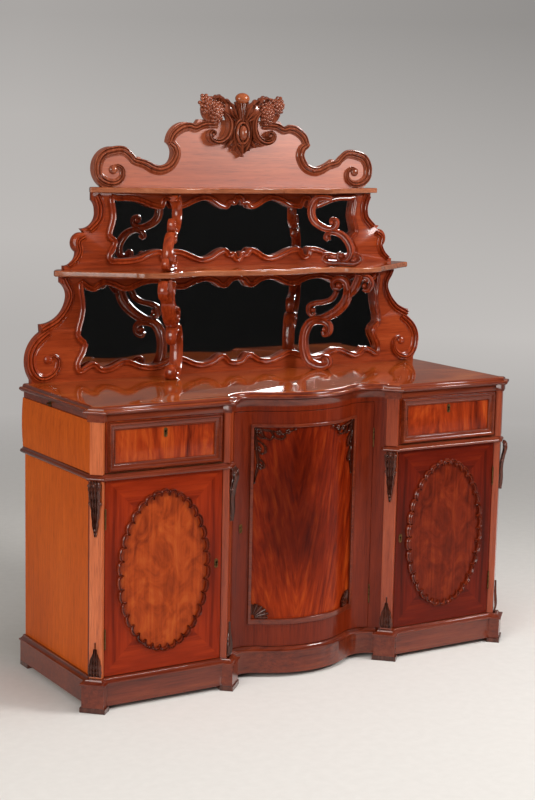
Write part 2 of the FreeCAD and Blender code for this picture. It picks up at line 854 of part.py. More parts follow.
def canted(name, edges, plane, facing):
    """A relief padded across the face of a pilaster."""
    body = prism(name, "XZ", edges, "pilaster_wide")
    stand = Size.pilaster_stand * DIAGONAL
    half = Size.pilaster_wide / 2 * DIAGONAL
    x = plane + facing * stand + half
    y = -(Size.case_front + stand) + facing * half
    turn = FreeCAD.Rotation(UP, -90 + 45 * facing)
    body.setExpression("Placement.Base.x", None)
    body.setExpression("Placement.Base.y", None)
    body.setExpression("Placement.Base.z", None)
    body.Placement = FreeCAD.Placement(Vector(x, y, 0), turn)
    return body


corbel_low = Size.waist_low - Size.corbel_drop
carvings = []
for plane, facing in ((Size.case_half, 1), (Size.bay_half, -1)):
    edges = relief_edges(CORBEL_SHARES, Size.corbel_proud, corbel_low, Size.corbel_drop)
    carvings.append(canted("Corbel%d" % len(carvings), edges, plane, facing))
    edges = relief_edges(LEAF_SHARES, Size.leaf_proud, Size.leaf_low, Size.leaf_tall)
    carvings.append(canted("Leaf%d" % len(carvings), edges, plane, facing))
left_carvings = [mirrored("Carving%d" % count, item) for count, item in enumerate(carvings)]
part(group("PilasterCarvings", carvings + left_carvings), "pilaster_carvings")

# Bulging veneered friezes on the outer sides, level with the drawers.
frieze_middle = (Size.waist_high + Size.neck_low) / 2
frieze_low = Vector(Size.case_half + Size.frieze_edge, Size.waist_high, 0)
frieze_top = Vector(Size.case_half + Size.frieze_edge, Size.neck_low, 0)
frieze_edges = [
    Part.Arc(frieze_low, Vector(Size.case_half + Size.frieze_proud, frieze_middle, 0), frieze_top),
] + chain([
    frieze_top,
    Vector(Size.case_half, Size.neck_low, 0),
    Vector(Size.case_half, Size.waist_high, 0),
    frieze_low,
])
frieze_run = "back_plane + case_front - %s + frieze_proud" % LEG_TEXT
frieze_blank = prism("FriezeBlank", "XZ", frieze_edges, frieze_run, y="back_plane")
part(pair("SideFriezes", cut("SideFrieze", frieze_blank, stile_core)), "side_friezes")

# Drawers. Everything is drawn for the right pedestal and mirrored for the left one.
drawer_front_board = board(
    "DrawerFrontBoard",
    DOOR_LEFT + " + drawer_gap", "-case_front", "waist_high + drawer_gap",
    OPENING_TEXT + " - 2 * drawer_gap", "drawer_front_thick", "neck_low - waist_high - 2 * drawer_gap",
)


def upright(name, origin, edges):
    """A free sketch in an upright plane that faces the front."""
    item = sketch_at(name, origin, Vector(1, 0, 0), edges)
    return item


def frame_moulding(name):
    """The sloping moulding planted round the field of a drawer front."""
    left = MIDDLE - Size.frame_half
    right = MIDDLE + Size.frame_half
    low = Size.frame_low
    high = Size.frame_high
    corners = [
        Vector(MIDDLE, low, 0), Vector(right, low, 0), Vector(right, high, 0),
        Vector(left, high, 0), Vector(left, low, 0), Vector(MIDDLE, low, 0),
    ]
    face = Vector(0, -Size.case_front, 0)
    spine = upright(name + "Path", face, chain(corners))
    wide = Size.frame_wide
    proud = Size.frame_proud
    rim = Vector(0, proud / 2, 0)
    crest = Vector(wide / 4, proud, 0)
    edges = chain([Vector(0, 0, 0), rim]) + [
        Part.Arc(rim, Vector(wide / 12, proud * 0.9, 0), crest),
    ] + chain([crest, Vector(wide / 2, proud * 2 / 3, 0), Vector(wide, proud / 4, 0), Vector(wide, 0, 0), Vector(0, 0, 0)])
    section = doc.addObject("Sketcher::SketchObject", name + "Section")
    section.addGeometry(edges, False)
    turn = FreeCAD.Rotation(UP, Vector(0, -1, 0), UP.cross(Vector(0, -1, 0)), "XYZ")
    section.Placement = FreeCAD.Placement(Vector(MIDDLE, -Size.case_front, low), turn)
    doc.recompute()
    item = doc.addObject("Part::Sweep", name)
    item.Sections = [section]
    item.Spine = (spine, ["Edge%d" % (count + 1) for count in range(len(corners) - 1)])
    item.Solid = True
    item.Transition = "Right corner"
    return item


drawer_front = group("DrawerFront", [drawer_front_board, frame_moulding("DrawerFrame")])
part(drawer_front, "right_drawer_front")
part(mirrored("LeftDrawerFront", drawer_front), "left_drawer_front")

box_x = DOOR_LEFT + " + drawer_gap + box_gap"
box_wide = OPENING_TEXT + " - 2 * drawer_gap - 2 * box_gap"
box_y = "drawer_front_thick - case_front"
box_low = "waist_high + box_clear"
box_run = "box_back + case_front - drawer_front_thick"
box_tall = "neck_low - waist_high - box_clear - box_drop"
drawer_box = group("DrawerBox", [
    board("BoxNear", box_x, box_y, box_low, "box_side", box_run, box_tall),
    board(
        "BoxFar", box_x + " + " + box_wide + " - box_side", box_y, box_low,
        "box_side", box_run, box_tall,
    ),
    board(
        "BoxBottom", box_x + " + box_side", box_y, box_low + " + box_side / 2",
        box_wide + " - 2 * box_side", box_run + " - box_side", "box_bottom",
    ),
    board(
        "BoxBack", box_x + " + box_side", "box_back - box_side", box_low,
        box_wide + " - 2 * box_side", "box_side", box_tall + " - box_side",
    ),
])
part(drawer_box, "right_drawer_box")
part(mirrored("LeftDrawerBox", drawer_box), "left_drawer_box")

guide_wide = LEG_TEXT + " - side_thick + drawer_gap"
guide_run = "back_plane - back_thick + case_front - post_depth"
guides = [
    board(
        "GuideNear", "bay_half + side_thick", "post_depth - case_front", "waist_high",
        guide_wide, guide_run, "guide_height",
    ),
    board(
        "GuideFar", "case_half - side_thick - (" + guide_wide + ")", "post_depth - case_front", "waist_high",
        guide_wide, guide_run, "guide_height",
    ),
]
left_guides = [mirrored("Guide%d" % count, item) for count, item in enumerate(guides)]
part(group("DrawerGuides", guides + left_guides), "drawer_guides")


# Locks: a brass case with a channel for its bolt, and a keyhole plate on the outer face.
def keyhole_plate(name, x, level, face):
    """A brass plate with round ends on an upright face; face is its distance forward."""
    half = Size.key_wide / 2
    straight = Size.key_high / 2 - half
    low = level - straight
    high = level + straight
    edges = [
        Part.Arc(Vector(x - half, low, 0), Vector(x, low - half, 0), Vector(x + half, low, 0)),
        Part.LineSegment(Vector(x + half, low, 0), Vector(x + half, high, 0)),
        Part.Arc(Vector(x + half, high, 0), Vector(x, high + half, 0), Vector(x - half, high, 0)),
        Part.LineSegment(Vector(x - half, high, 0), Vector(x - half, low, 0)),
    ]
    return prism(name, "XZ", edges, "key_thick", y=face)


drawer_lock_rear = "drawer_front_thick - case_front"
drawer_lock_top = "neck_low - drawer_gap"
drawer_lock_case = board(
    "DrawerLockCase",
    MIDDLE_TEXT + " - lock_long / 2", drawer_lock_rear, drawer_lock_top + " - drawer_lock_tall",
    "lock_long", "lock_deep", "drawer_lock_tall",
)
drawer_bolt_y = drawer_lock_rear + " + lock_deep / 2 - bolt_thick / 2"
drawer_channel = board(
    "DrawerChannel",
    MIDDLE_TEXT + " - bolt_wide / 2 - bolt_clear", drawer_bolt_y + " - bolt_clear",
    drawer_lock_top + " - bolt_long - 2 * bolt_clear",
    "bolt_wide + 2 * bolt_clear", "bolt_thick + 2 * bolt_clear", "bolt_long + overrun",
)
drawer_lock = group("DrawerLock", [
    cut("DrawerLockBody", drawer_lock_case, drawer_channel),
    keyhole_plate("DrawerKeyhole", MIDDLE, Size.drawer_key_level, "-case_front"),
])
part(drawer_lock, "right_drawer_lock")
part(mirrored("LeftDrawerLock", drawer_lock), "left_drawer_lock")
drawer_bolt = board(
    "DrawerBolt",
    MIDDLE_TEXT + " - bolt_wide / 2", drawer_bolt_y, drawer_lock_top + " - bolt_long - bolt_clear",
    "bolt_wide", "bolt_thick", "bolt_long",
)
part(drawer_bolt, "right_drawer_bolt")
part(mirrored("LeftDrawerBolt", drawer_bolt), "left_drawer_bolt")

# Side doors with their oval mouldings.
door_slab = board(
    "DoorSlab",
    DOOR_LEFT + " + door_gap", "-case_front", "base_level + door_gap",
    OPENING_TEXT + " - 2 * door_gap", "door_thick", "waist_low - base_level - 2 * door_gap",
)
part(door_slab, "right_door")
part(mirrored("LeftDoor", door_slab), "left_door")

# A scalloped ring: every scallop is one arc outside and one arc inside.
SCALLOPS = 34


def oval_point(half_wide, half_tall, turn):
    """A point of the oval's ellipse."""
    return Vector(MIDDLE + half_wide * math.cos(turn), Size.oval_level + half_tall * math.sin(turn), 0)


def scalloped(half_wide, half_tall, swell):
    """A closed run of arcs that bulge outward by swell."""
    step = 2 * math.pi / SCALLOPS
    edges = []
    for count in range(SCALLOPS):
        start = oval_point(half_wide, half_tall, count * step)
        crown = oval_point(half_wide + swell, half_tall + swell, (count + 1 / 2) * step)
        end = oval_point(half_wide, half_tall, (count + 1) % SCALLOPS * step)
        edges.append(Part.Arc(start, crown, end))
    return edges


def oval_ring():
    """The scalloped outer edge and the plain inner edge of the ring."""
    wide = Size.oval_half_wide - Size.oval_inset
    tall = Size.oval_half_tall - Size.oval_inset
    band = Size.oval_band - Size.oval_inset
    centre = oval_point(0, 0, 0)
    inner = Part.Ellipse(oval_point(0, tall - band, math.pi / 2), oval_point(wide - band, 0, 0), centre)
    return scalloped(wide, tall, Size.oval_inset) + [inner]


oval = prism("DoorOval", "XZ", oval_ring(), "oval_proud", y="-case_front")
part(oval, "right_door_oval")
part(mirrored("LeftDoorOval", oval), "left_door_oval")


# Hinges: fixed leaf, pin and outer knuckles in one piece; moving leaf and middle knuckle in another.
def tube(name, x, front, low, tall, radius):
    """An upright round piece."""
    item = doc.addObject("Part::Cylinder", name)
    item.setExpression("Radius", bound(radius))
    item.setExpression("Height", bound(tall))
    return place(item, x, "-(" + front + ")", low)


def hinge(name, edge, front, low):
    """Both halves of a hinge for a door whose right edge is at edge."""
    pin_x = edge + " - pin_inset"
    pin_front = front + " + pin_proud"
    tall = "3 * knuckle_long"
    fixed_x = edge + " + door_gap - leaf_thick"
    reach = "pin_proud"
    fixed_leaf = board(name + "FixedLeaf", fixed_x, "-(" + front + ")", low, "leaf_thick", "leaf_wide", tall)
    upper = low + " + 2 * knuckle_long"
    fixed = [fixed_leaf, tube(name + "Pin", pin_x, pin_front, low, tall, "pin_radius")]
    for level, word in ((low, "Low"), (upper, "High")):
        fixed.append(tube(name + "Knuckle" + word, pin_x, pin_front, level, "knuckle_long", "knuckle_radius"))
        fixed.append(board(
            name + "Tab" + word, fixed_x, "-(" + front + " + " + reach + ")", level,
            "leaf_thick", reach, "knuckle_long",
        ))
    middle = low + " + knuckle_long + bolt_clear"
    middle_tall = "knuckle_long - 2 * bolt_clear"
    solid = fused(name + "MovingSolid", [
        board(name + "MovingLeaf", edge, "-(" + front + ")", low, "leaf_thick", "leaf_wide", tall),
        tube(name + "KnuckleMiddle", pin_x, pin_front, middle, middle_tall, "knuckle_radius"),
        board(
            name + "MovingTab", edge, "-(" + front + " + " + reach + ")", middle,
            "leaf_thick", reach, middle_tall,
        ),
    ])
    bore = tube(name + "Bore", pin_x, pin_front, low, tall, "pin_radius + hinge_fit")
    return fused(name + "Fixed", fixed), cut(name + "Moving", solid, bore)


door_edge = "case_half - " + LEG_TEXT + " - door_gap"
low_hinge = "base_level + hinge_inset"
high_hinge = "waist_low - hinge_inset - 3 * knuckle_long"
side_hinges = [
    hinge("LowHinge", door_edge, "case_front", low_hinge),
    hinge("HighHinge", door_edge, "case_front", high_hinge),
]
bay_door_edge = "stile_inner - door_gap"
bay_high_hinge = "bay_door_high - hinge_inset - 3 * knuckle_long"
bay_hinges = [
    hinge("BayLowHinge", bay_door_edge, "bay_hinge_front", low_hinge),
    hinge("BayHighHinge", bay_door_edge, "bay_hinge_front", bay_high_hinge),
]
fixed_halves = [fixed for fixed, moving in side_hinges]
left_halves = [mirrored("HingeLeft%d" % count, item) for count, item in enumerate(fixed_halves)]
bay_halves = [fixed for fixed, moving in bay_hinges]
part(group("DoorHinges", fixed_halves + left_halves + bay_halves), "door_hinges")

# Door locks and bolts.
lock_low = "oval_level - lock_long / 2"
door_lock_x = DOOR_LEFT + " + door_gap"
door_bolt_y = "door_thick - case_front + lock_deep / 2 - bolt_thick / 2"
door_lock_case = board(
    "DoorLockCase", door_lock_x + " + lock_inset", "door_thick - case_front", lock_low, "lock_wide", "lock_deep", "lock_long",
)
door_channel = board(
    "DoorChannel",
    door_lock_x + " - overrun", door_bolt_y + " - bolt_clear", "oval_level - bolt_wide / 2 - bolt_clear",
    "lock_inset + bolt_long + 2 * bolt_clear + overrun", "bolt_thick + 2 * bolt_clear", "bolt_wide + 2 * bolt_clear",
)
KEY_X = INNER_OPENING + Size.door_gap + Size.door_key_inset
door_hardware = group("DoorHardware", [
    cut("DoorLock", door_lock_case, door_channel),
    keyhole_plate("DoorKeyhole", KEY_X, Size.oval_level, "-case_front"),
] + [moving for fixed, moving in side_hinges])
part(door_hardware, "right_door_hardware")
part(mirrored("LeftDoorHardware", door_hardware), "left_door_hardware")
door_bolt = board(
    "DoorBolt",
    door_lock_x + " + lock_inset + bolt_clear", door_bolt_y, "oval_level - bolt_wide / 2",
    "bolt_long", "bolt_thick", "bolt_wide",
)
part(door_bolt, "right_door_bolt")
part(mirrored("LeftDoorBolt", door_bolt), "left_door_bolt")

# The bay door: a bowed board with a sunk panel, framed by beads.
DOOR_REACH = Size.stile_inner - Size.door_gap
face = Size.bay_face_setback
bay_door_tall = "bay_door_high - base_level - door_gap"
bay_blank = prism(
    "BayDoorBlank", "XY", bay_band(face, face + Size.door_thick, DOOR_REACH),
    bay_door_tall, z="base_level + door_gap",
)
sunk = prism(
    "PanelSinking", "XY", bay_band(face - Size.overrun, face + Size.panel_sunk, Size.panel_half),
    "panel_high - panel_low", z="panel_low",
)
part(cut("BayDoor", bay_blank, sunk), "centre_door")

bead_blank = prism(
    "BeadBlank", "XY", bay_band(face - Size.bead_proud, face, Size.panel_half + Size.bead_wide),
    "panel_high - panel_low + bead_wide + sill_bead", z="panel_low - sill_bead",
)
bead_field = board(
    "BeadField", "-panel_half", "-bow_front - overrun", "panel_low",
    "2 * panel_half", "bow_front + overrun", "panel_high - panel_low",
)
part(cut("DoorBeads", bead_blank, bead_field), "centre_door_beads")

# Half outlines of a corner spandrel and a palmette, as shares of (wide, tall) from the corner.
SPANDREL_SHARES = [(1.0, 0.04), (0.78, 0.16), (0.6, 0.2), (0.52, 0.34), (0.3, 0.36), (0.24, 0.56), (0.14, 0.72), (0.06, 1.0)]
PALMETTE_SHARES = [(1.0, 0.1), (0.98, 0.5), (0.78, 0.9), (0.4, 1.0), (0.06, 0.96)]


def corner_relief(name, shares, x, level, wide, tall):
    """A pierced carving's outline, laid over the bowed panel of the bay door."""
    base = Vector(x, level, 0)
    points = [base + Vector(wide * across, tall * up, 0) for across, up in shares]
    edges = [Part.LineSegment(base, points[0])] + flowing(points) + [Part.LineSegment(points[-1], base)]
    shape = prism(name + "Outline", "XZ", edges, "bow_front")
    band = prism(
        name + "Band", "XY", bay_band(face - Size.carving_proud, face + Size.panel_sunk, Size.panel_half),
        "case_top",
    )
    item = doc.addObject("Part::Common", name)
    item.Base = shape
    item.Tool = band
    return item


spandrel = corner_relief(
    "Spandrel", SPANDREL_SHARES, Size.panel_half, Size.panel_high, -Size.spandrel_wide, -Size.spandrel_tall,
)
palmette = corner_relief(
    "Palmette", PALMETTE_SHARES, Size.panel_half, Size.panel_low, -Size.palmette_wide, Size.palmette_tall,
)
reliefs = [spandrel, palmette, mirrored("SpandrelLeft", spandrel), mirrored("PalmetteLeft", palmette)]
part(group("BayDoorCarvings", reliefs), "centre_door_carvings")

bay_lock_x = "door_gap - stile_inner + lock_inset"
bay_bolt_y = "-bay_lock_front - bolt_thick / 2"
bay_lock_case = board(
    "BayLockCase", bay_lock_x, "-bay_lock_front - lock_deep / 2", "bay_lock_level - lock_long / 2",
    "lock_wide", "lock_deep", "lock_long",
)
bay_channel = board(
    "BayChannel",
    bay_lock_x + " - overrun", bay_bolt_y + " - bolt_clear", "bay_lock_level - bolt_wide / 2 - bolt_clear",
    "bolt_long + 2 * bolt_clear + overrun", "bolt_thick + 2 * bolt_clear", "bolt_wide + 2 * bolt_clear",
)
lock_whole = cut("BayLockWhole", bay_lock_case, bay_channel)
lock_bed = prism(
    "LockBed", "XY", bay_band(face, face + Size.door_thick + Size.fit_gap, DOOR_REACH),
    bay_door_tall, z="base_level + door_gap",
)
bay_lock = cut("BayLock", lock_whole, lock_bed)
BAY_KEY_X = -(Size.stile_inner - Size.door_gap - Size.bay_key_inset)
bay_key = keyhole_plate("BayKeyholeBlank", BAY_KEY_X, Size.bay_lock_level, "0")
bay_key.Tip.setExpression("Length", bound("bow_front"))
key_band = prism(
    "BayKeyBand", "XY", bay_band(face - Size.key_thick - Size.fit_gap, face - Size.fit_gap, DOOR_REACH),
    "case_top",
)
bay_keyhole = doc.addObject("Part::Common", "BayKeyhole")
bay_keyhole.Base = bay_key
bay_keyhole.Tool = key_band
part(group("BayDoorHardware", [bay_lock, bay_keyhole] + [moving for fixed, moving in bay_hinges]), "centre_door_hardware")
bay_bolt = board(
    "BayBolt", bay_lock_x + " + bolt_clear", bay_bolt_y, "bay_lock_level - bolt_wide / 2",
    "bolt_long", "bolt_thick", "bolt_wide",
)
part(bay_bolt, "centre_door_bolt")


# The upper part. Half outlines run from the foot to the top as (kind, share points); an arc passes
# through its first point to its second. Shares are of (reach, height of the tier).
LOWER_SHARES = [
    ("start", (0.979, 0.0)),
    ("line", (0.979, 0.034)),
    ("arc", (1.0, 0.244), (0.9355, 0.476)),
    ("line", (0.938, 0.549)),
    ("arc", (0.8536, 0.622), (0.815, 0.804)),
    ("arc", (0.824, 0.882), (0.846, 0.9356)),
    ("line", (0.846, 1.0)),
]
UPPER_SHARES = [
    ("start", (1.0, 0.0)),
    ("line", (1.0, 0.047)),
    ("arc", (0.949, 0.098), (0.931, 0.2235)),
    ("arc", (0.955, 0.365), (0.89, 0.4745)),
    ("line", (0.9075, 0.529)),
    ("arc", (0.83, 0.647), (0.824, 0.765)),
    ("arc", (0.83, 0.843), (0.846, 0.902)),
    ("line", (0.846, 1.0)),
]
CREST_SHARES = [
    ("start", (0.94, 0.0)),
    ("arc", (1.0, 0.28), (0.873, 0.582)),
    ("arc", (0.795, 0.534), (0.735, 0.405)),
    ("line", (0.696, 0.44)),
    ("arc", (0.6, 0.328), (0.551, 0.31)),
    ("arc", (0.495, 0.353), (0.472, 0.47)),
    ("arc", (0.477, 0.578), (0.507, 0.655)),
    ("arc", (0.463, 0.879), (0.373, 0.957)),
    ("line", (0.33, 0.875)),
    ("line", (0.2915, 1.0)),
]


def half_outline(shares, reach, low, high, side):
    """Edges of one half, from the foot up; side is 1 on the right and -1 on the left."""

    def spot(share):
        return Vector(side * reach * share[0], low + (high - low) * share[1], 0)

    edges = []
    here = spot(shares[0][1])
    for step in shares[1:]:
        there = spot(step[-1])
        if step[0] == "arc":
            edges.append(Part.Arc(here, spot(step[1]), there))
        else:
            edges.append(Part.LineSegment(here, there))
        here = there
    return edges, spot(shares[0][1]), here


def outline(shares, reach, low, high):
    """A closed outline, the same on both sides."""
    right, foot, head = half_outline(shares, reach, low, high, 1)
    left, left_foot, left_head = half_outline(shares, reach, low, high, -1)
    return right + left + [Part.LineSegment(left_foot, foot), Part.LineSegment(head, left_head)]


# Lobed windows: waves along the foot and the head as shares of (half width, depth of wave).
WAVE_SHARES = [
    (0.0, 0.0), (0.088, 1.0), (0.214, 0.0), (0.37, 1.0), (0.547, 0.05), (0.71, 1.0), (0.85, 0.05),
    (0.915, 0.85), (0.985, 0.1),
]
STILE_SHARES = [(0.985, 0.0), (1.0, 0.1), (0.955, 0.3), (1.0, 0.42), (0.97, 0.7), (0.985, 1.0)]


def window(half, low, high):
    """The lobed outline of a mirror's opening."""
    deep = Size.wave_deep
    tall = high - low - 2 * deep * WAVE_SHARES[-1][1]
    foot = [Vector(half * across, low + deep * up, 0) for across, up in WAVE_SHARES]
    head = [Vector(half * across, high - deep * up, 0) for across, up in WAVE_SHARES]
    stile = [Vector(half * across, foot[-1].y + tall * up, 0) for across, up in STILE_SHARES]

    def left(points):
        return [Vector(-point.x, point.y, 0) for point in points]

    whole_foot = left(foot[:0:-1]) + foot
    whole_head = left(head[:0:-1]) + head
    return flowing(whole_foot) + flowing(stile) + flowing(whole_head) + flowing(left(stile))


def backboard(name, shares, reach, low, high, window_sizes, glass_sizes):
    """A shaped board with a lobed window and a rebate behind it for the glass."""
    thick = "back_plane - board_front"
    blank = prism(name + "Blank", "XZ", outline(shares, reach, low, high), thick, y="back_plane")
    hole = prism(name + "Window", "XZ", window(*window_sizes), thick + " + 2 * overrun", y="back_plane + overrun")
    half, glass_low, glass_high = glass_sizes
    rebate = board(
        name + "Rebate", "-" + half, "board_front + face_thick", glass_low,
        "2 * " + half, thick + " - face_thick + overrun", glass_high + " - " + glass_low,
    )
    return cut(name, cut(name + "Pierced", blank, hole), rebate)


lower_window = (Size.lower_window_half, Size.lower_window_low, Size.lower_window_high)
upper_window = (Size.upper_window_half, Size.upper_window_low, Size.upper_window_high)
LOWER_GLASS = ("lower_glass_half", "lower_glass_low", "lower_glass_high")
UPPER_GLASS = ("upper_glass_half", "upper_glass_low", "upper_glass_high")
lower_board = backboard(
    "LowerBackboard", LOWER_SHARES, Size.lower_reach, Size.top_level, Size.lower_shelf_low,
    lower_window, LOWER_GLASS,
)
part(lower_board, "lower_backboard")
upper_board = backboard(
    "UpperBackboard", UPPER_SHARES, Size.upper_reach, Size.lower_shelf_high, Size.upper_shelf_low,
    upper_window, UPPER_GLASS,
)
part(upper_board, "upper_backboard")
crest_edges = outline(CREST_SHARES, Size.crest_reach, Size.upper_shelf_high, Size.crest_high)
part(prism("CrestBoard", "XZ", crest_edges, "back_plane - board_front", y="back_plane"), "crest_board")


def glass(name, sizes, rear, thick):
    """A sheet that fills a rebate; rear is its distance behind the origin."""
    half, low, high = sizes
    return board(name, "-" + half, rear, low, "2 * " + half, thick, high + " - " + low)


glass_front = "board_front + face_thick"
part(glass("LowerMirror", LOWER_GLASS, glass_front, "glass_thick"), "lower_mirror")
part(glass("UpperMirror", UPPER_GLASS, glass_front, "glass_thick"), "upper_mirror")
backing_thick = "back_plane - board_front - face_thick - glass_thick"
backings = [
    glass("LowerBacking", LOWER_GLASS, glass_front + " + glass_thick", backing_thick),
    glass("UpperBacking", UPPER_GLASS, glass_front + " + glass_thick", backing_thick),
]
part(group("MirrorBackings", backings), "mirror_backings")


def window_frame(name, window_sizes):
    """The raised moulding that runs round a window."""
    half, low, high = window_sizes
    band = Size.frame_band
    edges = window(half, low, high) + window(half + band, low - band, high + band)
    return prism(name, "XZ", edges, "frame_stand", y="board_front")


frames = [window_frame("LowerFrame", lower_window), window_frame("UpperFrame", upper_window)]
part(group("MirrorFrames", frames), "mirror_frames")

# Shelves: half plans as (x, forward) shares of (reach, depth), with their cusps.
LOWER_SHELF_RUNS = [
    [(0.0, 0.94), (0.12, 0.93), (0.24, 0.85), (0.3, 0.8), (0.4, 0.83), (0.45, 0.88)],
    [(0.45, 0.88), (0.5, 0.98), (0.57, 1.0), (0.65, 0.95), (0.69, 0.85)],
    [(0.69, 0.85), (0.75, 0.72), (0.85, 0.52), (0.94, 0.34), (1.0, 0.24)],
    [(1.0, 0.24), (0.985, 0.12), (0.955, 0.0)],
]
UPPER_SHELF_RUNS = [
    [(0.0, 0.9), (0.12, 0.86), (0.23, 0.78)],
    [(0.23, 0.78), (0.33, 0.9), (0.43, 0.98), (0.52, 1.0), (0.57, 0.95)],
    [(0.57, 0.95), (0.7, 0.72), (0.85, 0.5), (1.0, 0.3)],
    [(1.0, 0.3), (0.985, 0.12), (0.96, 0.0)],
]


def shelf(name, runs, reach, deep, low, high):
    """A serpentine shelf with its back edge on the back plane."""

    def spot(share, side):
        return Vector(side * reach * share[0], Size.back_plane - deep * share[1], 0)

    right = []
    left = []
    for run in runs:
        right += flowing([spot(share, 1) for share in run])
        left += flowing([spot(share, -1) for share in run])
    end = runs[-1][-1]
    edges = right + left + [Part.LineSegment(spot(end, 1), spot(end, -1))]
    return prism(name, "XY", edges, high + " - " + low, z=low)


lower_shelf = shelf(
    "LowerShelf", LOWER_SHELF_RUNS, Size.lower_shelf_reach, Size.lower_shelf_deep,
    "lower_shelf_low", "lower_shelf_high",
)
part(lower_shelf, "lower_shelf")
upper_shelf = shelf(
    "UpperShelf", UPPER_SHELF_RUNS, Size.upper_shelf_reach, Size.upper_shelf_deep,
    "upper_shelf_low", "upper_shelf_high",
)
part(upper_shelf, "upper_shelf")


# Scrolls: bands that follow a smooth line, each point with its own half width.
def ribbon(points, half_widths):
    """Edges round a band, with straight ends."""
    spine = smooth(points)
    near = []
    far = []
    for count, (point, half) in enumerate(zip(points, half_widths)):
        place_on = spine.parameter(point)
        along = spine.tangent(place_on)[0]
        across = Vector(-along.y, along.x, 0)
        near.append(point + across * half)
        far.append(point - across * half)
        if count + 1 < len(points):
            ahead = spine.parameter(points[count + 1])
            middle = (place_on + ahead) / 2
            along = spine.tangent(middle)[0]
            across = Vector(-along.y, along.x, 0)
            half = (half + half_widths[count + 1]) / 2
            near.append(spine.value(middle) + across * half)
            far.append(spine.value(middle) - across * half)
    back = far[::-1]
    near_edge = [bow(*three) for three in zip(near[::2], near[1::2], near[2::2])]
    back_edge = [bow(*three) for three in zip(back[::2], back[1::2], back[2::2])]
    near_end = Part.LineSegment(near[-1], back[0])
    back_end = Part.LineSegment(back[-1], near[0])
    return near_edge + [near_end] + back_edge + [back_end]


def stroke(name, shares, origin, scale, band, depth, y):
    """One scrolling band: shares are (across, up, half width as a share of band)."""
    points = [Vector(origin.x + scale * across, origin.y + scale * up, 0) for across, up, half in shares]
    widths = [band * half for across, up, half in shares]
    return prism(name, "XZ", ribbon(points, widths), depth, y=y)


# Raised mouldings along the shaped edges, as (across, up, half width) shares of the tier's reach,
# its height and the band. They end in volutes.
def edge_stroke(name, shares, reach, low, high):
    """A band planted on the face of a shaped board."""
    points = [Vector(reach * across, low + (high - low) * up, 0) for across, up, half in shares]
    widths = [Size.edge_band * half for across, up, half in shares]
    return prism(name, "XZ", ribbon(points, widths), "edge_stand", y="board_front")


LOWER_EDGE_SHARES = [
    (0.829, 0.984, 0.4), (0.818, 0.93, 0.4), (0.802, 0.86, 0.36), (0.8, 0.78, 0.34), (0.822, 0.67, 0.4),
    (0.862, 0.57, 0.46), (0.912, 0.51, 0.48),
]
LOWER_VOLUTE_SHARES = [
    (0.915, 0.44, 0.4), (0.952, 0.375, 0.5), (0.978, 0.262, 0.5), (0.972, 0.13, 0.48), (0.94, 0.052, 0.42),
    (0.9, 0.058, 0.36), (0.868, 0.12, 0.32), (0.86, 0.205, 0.28), (0.882, 0.25, 0.26), (0.904, 0.22, 0.2),
]
UPPER_EDGE_SHARES = [
    (0.825, 0.966, 0.4), (0.808, 0.88, 0.45), (0.8, 0.765, 0.45), (0.812, 0.63, 0.45), (0.862, 0.505, 0.42),
]
UPPER_FOOT_SHARES = [
    (0.885, 0.42, 0.3), (0.92, 0.36, 0.36), (0.914, 0.235, 0.36), (0.936, 0.12, 0.36), (0.975, 0.04, 0.28),
]
lower_edges = fused("LowerEdges", [
    edge_stroke("LowerEdge", LOWER_EDGE_SHARES, Size.lower_reach, Size.top_level, Size.lower_shelf_low),
    edge_stroke("LowerVolute", LOWER_VOLUTE_SHARES, Size.lower_reach, Size.top_level, Size.lower_shelf_low),
])
upper_edge = edge_stroke("UpperEdge", UPPER_EDGE_SHARES, Size.upper_reach, Size.lower_shelf_high, Size.upper_shelf_low)
upper_foot = edge_stroke("UpperFoot", UPPER_FOOT_SHARES, Size.upper_reach, Size.lower_shelf_high, Size.upper_shelf_low)
scrolls = [lower_edges, upper_edge, upper_foot]
left_scrolls = [mirrored("Scroll%d" % count, item) for count, item in enumerate(scrolls)]
part(group("BackboardScrolls", scrolls + left_scrolls), "backboard_scrolls")

CREST_VOLUTE_SHARES = [
    (0.75, 0.44, 0.36), (0.8, 0.515, 0.46), (0.873, 0.51, 0.5), (0.937, 0.45, 0.5), (0.968, 0.31, 0.5),
    (0.96, 0.16, 0.47), (0.91, 0.075, 0.42), (0.855, 0.07, 0.36), (0.816, 0.138, 0.32), (0.812, 0.245, 0.28),
    (0.845, 0.3, 0.24), (0.868, 0.25, 0.2),
]
CREST_HOLLOW_SHARES = [
    (0.728, 0.36, 0.36), (0.66, 0.33, 0.45), (0.6, 0.265, 0.5), (0.545, 0.25, 0.5), (0.48, 0.32, 0.5),
    (0.443, 0.47, 0.5), (0.455, 0.59, 0.45), (0.485, 0.65, 0.36),
]
CREST_RISE_SHARES = [
    (0.487, 0.655, 0.34), (0.462, 0.77, 0.45), (0.41, 0.86, 0.48), (0.36, 0.885, 0.45), (0.315, 0.865, 0.42),
    (0.255, 0.92, 0.42), (0.18, 0.935, 0.42),
]
crest_runs = [
    edge_stroke("Crest%d" % count, shares, Size.crest_reach, Size.upper_shelf_high, Size.crest_high)
    for count, shares in enumerate((CREST_VOLUTE_SHARES, CREST_HOLLOW_SHARES, CREST_RISE_SHARES))
]
crest_run = fused("CrestRun", crest_runs)


